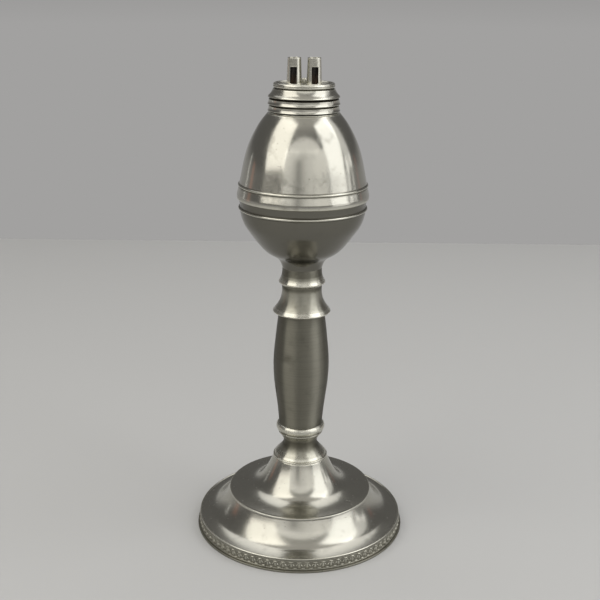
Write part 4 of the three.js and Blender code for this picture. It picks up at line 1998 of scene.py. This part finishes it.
@dataclass
class Studio:
    """The pale table, the dim room, the softboxes and the camera.

    Attributes:
        floor_hex: Colour of the table top.
        floor_half: Half the width of the table top, in metres.
        floor_back: Distance of its back edge behind the lamp, in metres.
        table_thickness: Thickness of the table top, in metres.
        table_edge: Rounding of its edges, in metres.
        paint_scale: Fineness of the paint's tooth, in features to the metre.
        paint_depth: Depth of the tooth, in metres.
        paint_strength: How strongly the tooth catches the light.
        paint_roughness: Roughness of the paint.
        room_tones: Colours of the room round the camera, each with its share of the way from
            straight down to straight up: the backdrop below, the dim walls, the ceiling.
        camera_place: Place of the camera, in metres.
        camera_pitch: How far it looks down, in degrees.
        camera_roll: Its roll, in degrees.
        lens_pixels: Focal length in pixels of the frame.
        aim_height: Height of the point that the lights face, in metres.
        fans: The lower parts of the front panel, each in strips.
        lights: The other softboxes.
    """

    floor_hex: str = "#bdbdbc"
    floor_half: float = 0.9
    floor_back: float = 0.54
    table_thickness: float = 0.04
    table_edge: float = 0.004
    paint_scale: float = 1400.0
    paint_depth: float = 0.00003
    paint_strength: float = 0.4
    paint_roughness: float = 0.7
    room_tones: tuple[tuple[float, str], ...] = (
        (0.48, "#a2a1a0"), (0.57, "#6b6a69"), (0.86, "#6b6a69"), (0.96, "#c4c2be"),
    )
    camera_place: tuple[float, float, float] = (-0.0008, -0.4290, 0.2442)
    camera_pitch: float = 17.5
    camera_roll: float = 0.6
    lens_pixels: float = 1010.0
    aim_height: float = 0.11
    fans: tuple[Fan, ...] = (
        Fan(
            "front_low",
            18.9,
            0.355,
            (
                (-38.5, 0.95), (-26.0, 0.85), (-20.0, 0.66), (-14.5, 0.45), (-11.5, 0.3),
                (-6.0, 0.45), (-2.0, 0.62), (3.0, 0.78), (9.0, 0.86), (20.0, 1.0), (48.0, 0.0),
            ),
        ),
        Fan(
            "front_middle",
            31.9,
            0.2,
            (
                (-38.5, 1.0), (-24.0, 0.9), (-12.0, 0.75), (-5.0, 0.66), (2.0, 0.74), (9.0, 0.85),
                (24.0, 1.05), (48.0, 0.0),
            ),
        ),
    )
    # Name, azimuth, elevation, distance, width, height and radiance of each
    lights: tuple[Softbox, ...] = (
        Softbox("left_softbox", -61.5, 40.7, 1.2, 0.9, 1.22, 1.75, "#fffcf6", roll=10.0),
        Softbox("right_softbox", 69.6, 36.5, 1.2, 0.78, 1.2, 1.85, roll=-6.8),
        Softbox("right_low_panel", 69.0, 2.4, 1.2, 0.78, 0.31, 0.95),
        Softbox("right_flank", 99.0, 33.0, 1.2, 0.36, 1.1, 0.8),
        Softbox("front_cap", 3, 43.1, 1.2, 1.26, 0.32, 0.95, "#fffefb", LampShape.ELLIPSE),
        Softbox("rear_top_panel", 180, 64, 1.2, 1.8, 0.85, 1.0),
        Softbox("window_strip", 92, 10, 1.2, 0.13, 0.3, 1.0),
        Softbox("far_window_strip", 104, 9, 1.2, 0.07, 0.3, 0.9),
        Softbox("door_strip", -122, 3, 1.2, 0.035, 0.3, 1.2),
        Softbox("wooden_door", -107, 1, 1.2, 0.14, 0.34, 0.7, "#94583a"),
        Softbox("wooden_frame", 119, 4, 1.2, 0.06, 0.3, 0.5, "#a3533c"),
    )

    def camera(self) -> None:
        """Places the camera as the photograph was taken."""
        data = bpy.data.cameras.new("camera")
        data.sensor_width = 36.0
        data.lens = self.lens_pixels * data.sensor_width / PIXELS
        data.clip_start, data.clip_end = 0.01, 50.0
        camera = bpy.data.objects.new("camera", data)
        camera.location = self.camera_place
        pitched = Quaternion((1, 0, 0), math.radians(90 - self.camera_pitch))
        rolled = Quaternion((0, 0, 1), math.radians(self.camera_roll))
        camera.rotation_mode = "QUATERNION"
        camera.rotation_quaternion = pitched @ rolled
        bpy.context.scene.collection.objects.link(camera)
        bpy.context.scene.camera = camera

    def table(self) -> None:
        """Makes the table top, a slab with softened edges."""
        clear_selection()
        bpy.ops.mesh.primitive_cube_add(size=1)
        table = bpy.context.active_object
        table.name = "table_top"
        depth = self.floor_half + self.floor_back
        middle = (0, (self.floor_back - self.floor_half) / 2, -self.table_thickness / 2)
        with editing(table):
            bpy.ops.mesh.select_all(action="SELECT")
            bpy.ops.transform.resize(value=(self.floor_half * 2, depth, self.table_thickness))
            bpy.ops.transform.translate(value=middle)
            bpy.ops.mesh.bevel(offset=self.table_edge, segments=4, affect="EDGES")
        smooth(table)
        # Matt paint on board: no shine, with a tooth that only just breaks the light.
        material, tree = new_material("matt_painted_board")
        place = add_node(tree, "ShaderNodeTexCoord", {}).outputs["Object"]
        fine = {"Vector": place, "Scale": self.paint_scale, "Detail": 2.0}
        tooth = add_node(tree, "ShaderNodeTexNoise", fine).outputs["Fac"]
        relief = {"Height": tooth, "Distance": self.paint_depth, "Strength": self.paint_strength}
        inputs = {
            "Base Color": linear(self.floor_hex),
            "Roughness": self.paint_roughness,
            "Normal": add_node(tree, "ShaderNodeBump", relief).outputs[0],
        }
        close_material(tree, add_node(tree, "ShaderNodeBsdfPrincipled", inputs))
        table.data.materials.append(material)

    def room(self) -> None:
        """Paints the room: a pale backdrop below the horizon, dim walls and a lighter ceiling."""
        world = bpy.data.worlds.new("studio_room")
        world.use_nodes = True
        tree = world.node_tree
        tree.nodes.clear()
        direction = add_node(tree, "ShaderNodeTexCoord", {}).outputs["Generated"]
        up = add_node(tree, "ShaderNodeSeparateXYZ", {"Vector": direction}).outputs[2]
        span = {"Value": up, "From Min": -1.0, "From Max": 1.0}
        share = add_node(tree, "ShaderNodeMapRange", span).outputs[0]
        ramp = add_node(tree, "ShaderNodeValToRGB", {"Fac": share})
        stops = ramp.color_ramp.elements
        for index, (position, hex_color) in enumerate(self.room_tones):
            stop = stops[index] if index < len(stops) else stops.new(position)
            stop.position, stop.color = position, linear(hex_color)
        shade = {"Color": ramp.outputs[0], "Strength": 1.0}
        background = add_node(tree, "ShaderNodeBackground", shade)
        add_node(tree, "ShaderNodeOutputWorld", {"Surface": background.outputs[0]})
        bpy.context.scene.world = world

    def build(self) -> None:
        """Sets up the camera, the table, the room and the lights."""
        bpy.context.scene.view_settings.view_transform = "Standard"
        self.camera()
        self.table()
        self.room()
        strips = [strip for fan in self.fans for strip in fan.strips()]
        for light in (*self.lights, *strips):
            light.place(Vector((0, 0, self.aim_height)))


def main() -> None:
    """Builds the studio and the lamp, from the foot up."""
    logging.basicConfig(level=logging.INFO, format="%(name)s: %(message)s")
    Studio().build()
    dresser = Dresser()
    Foot().build(dresser)
    Stem().build(dresser)
    Font().build(dresser)
    Burner().build(dresser)
    Wicks().build(dresser)
    clear_selection()


if __name__ == "__main__":
    main()
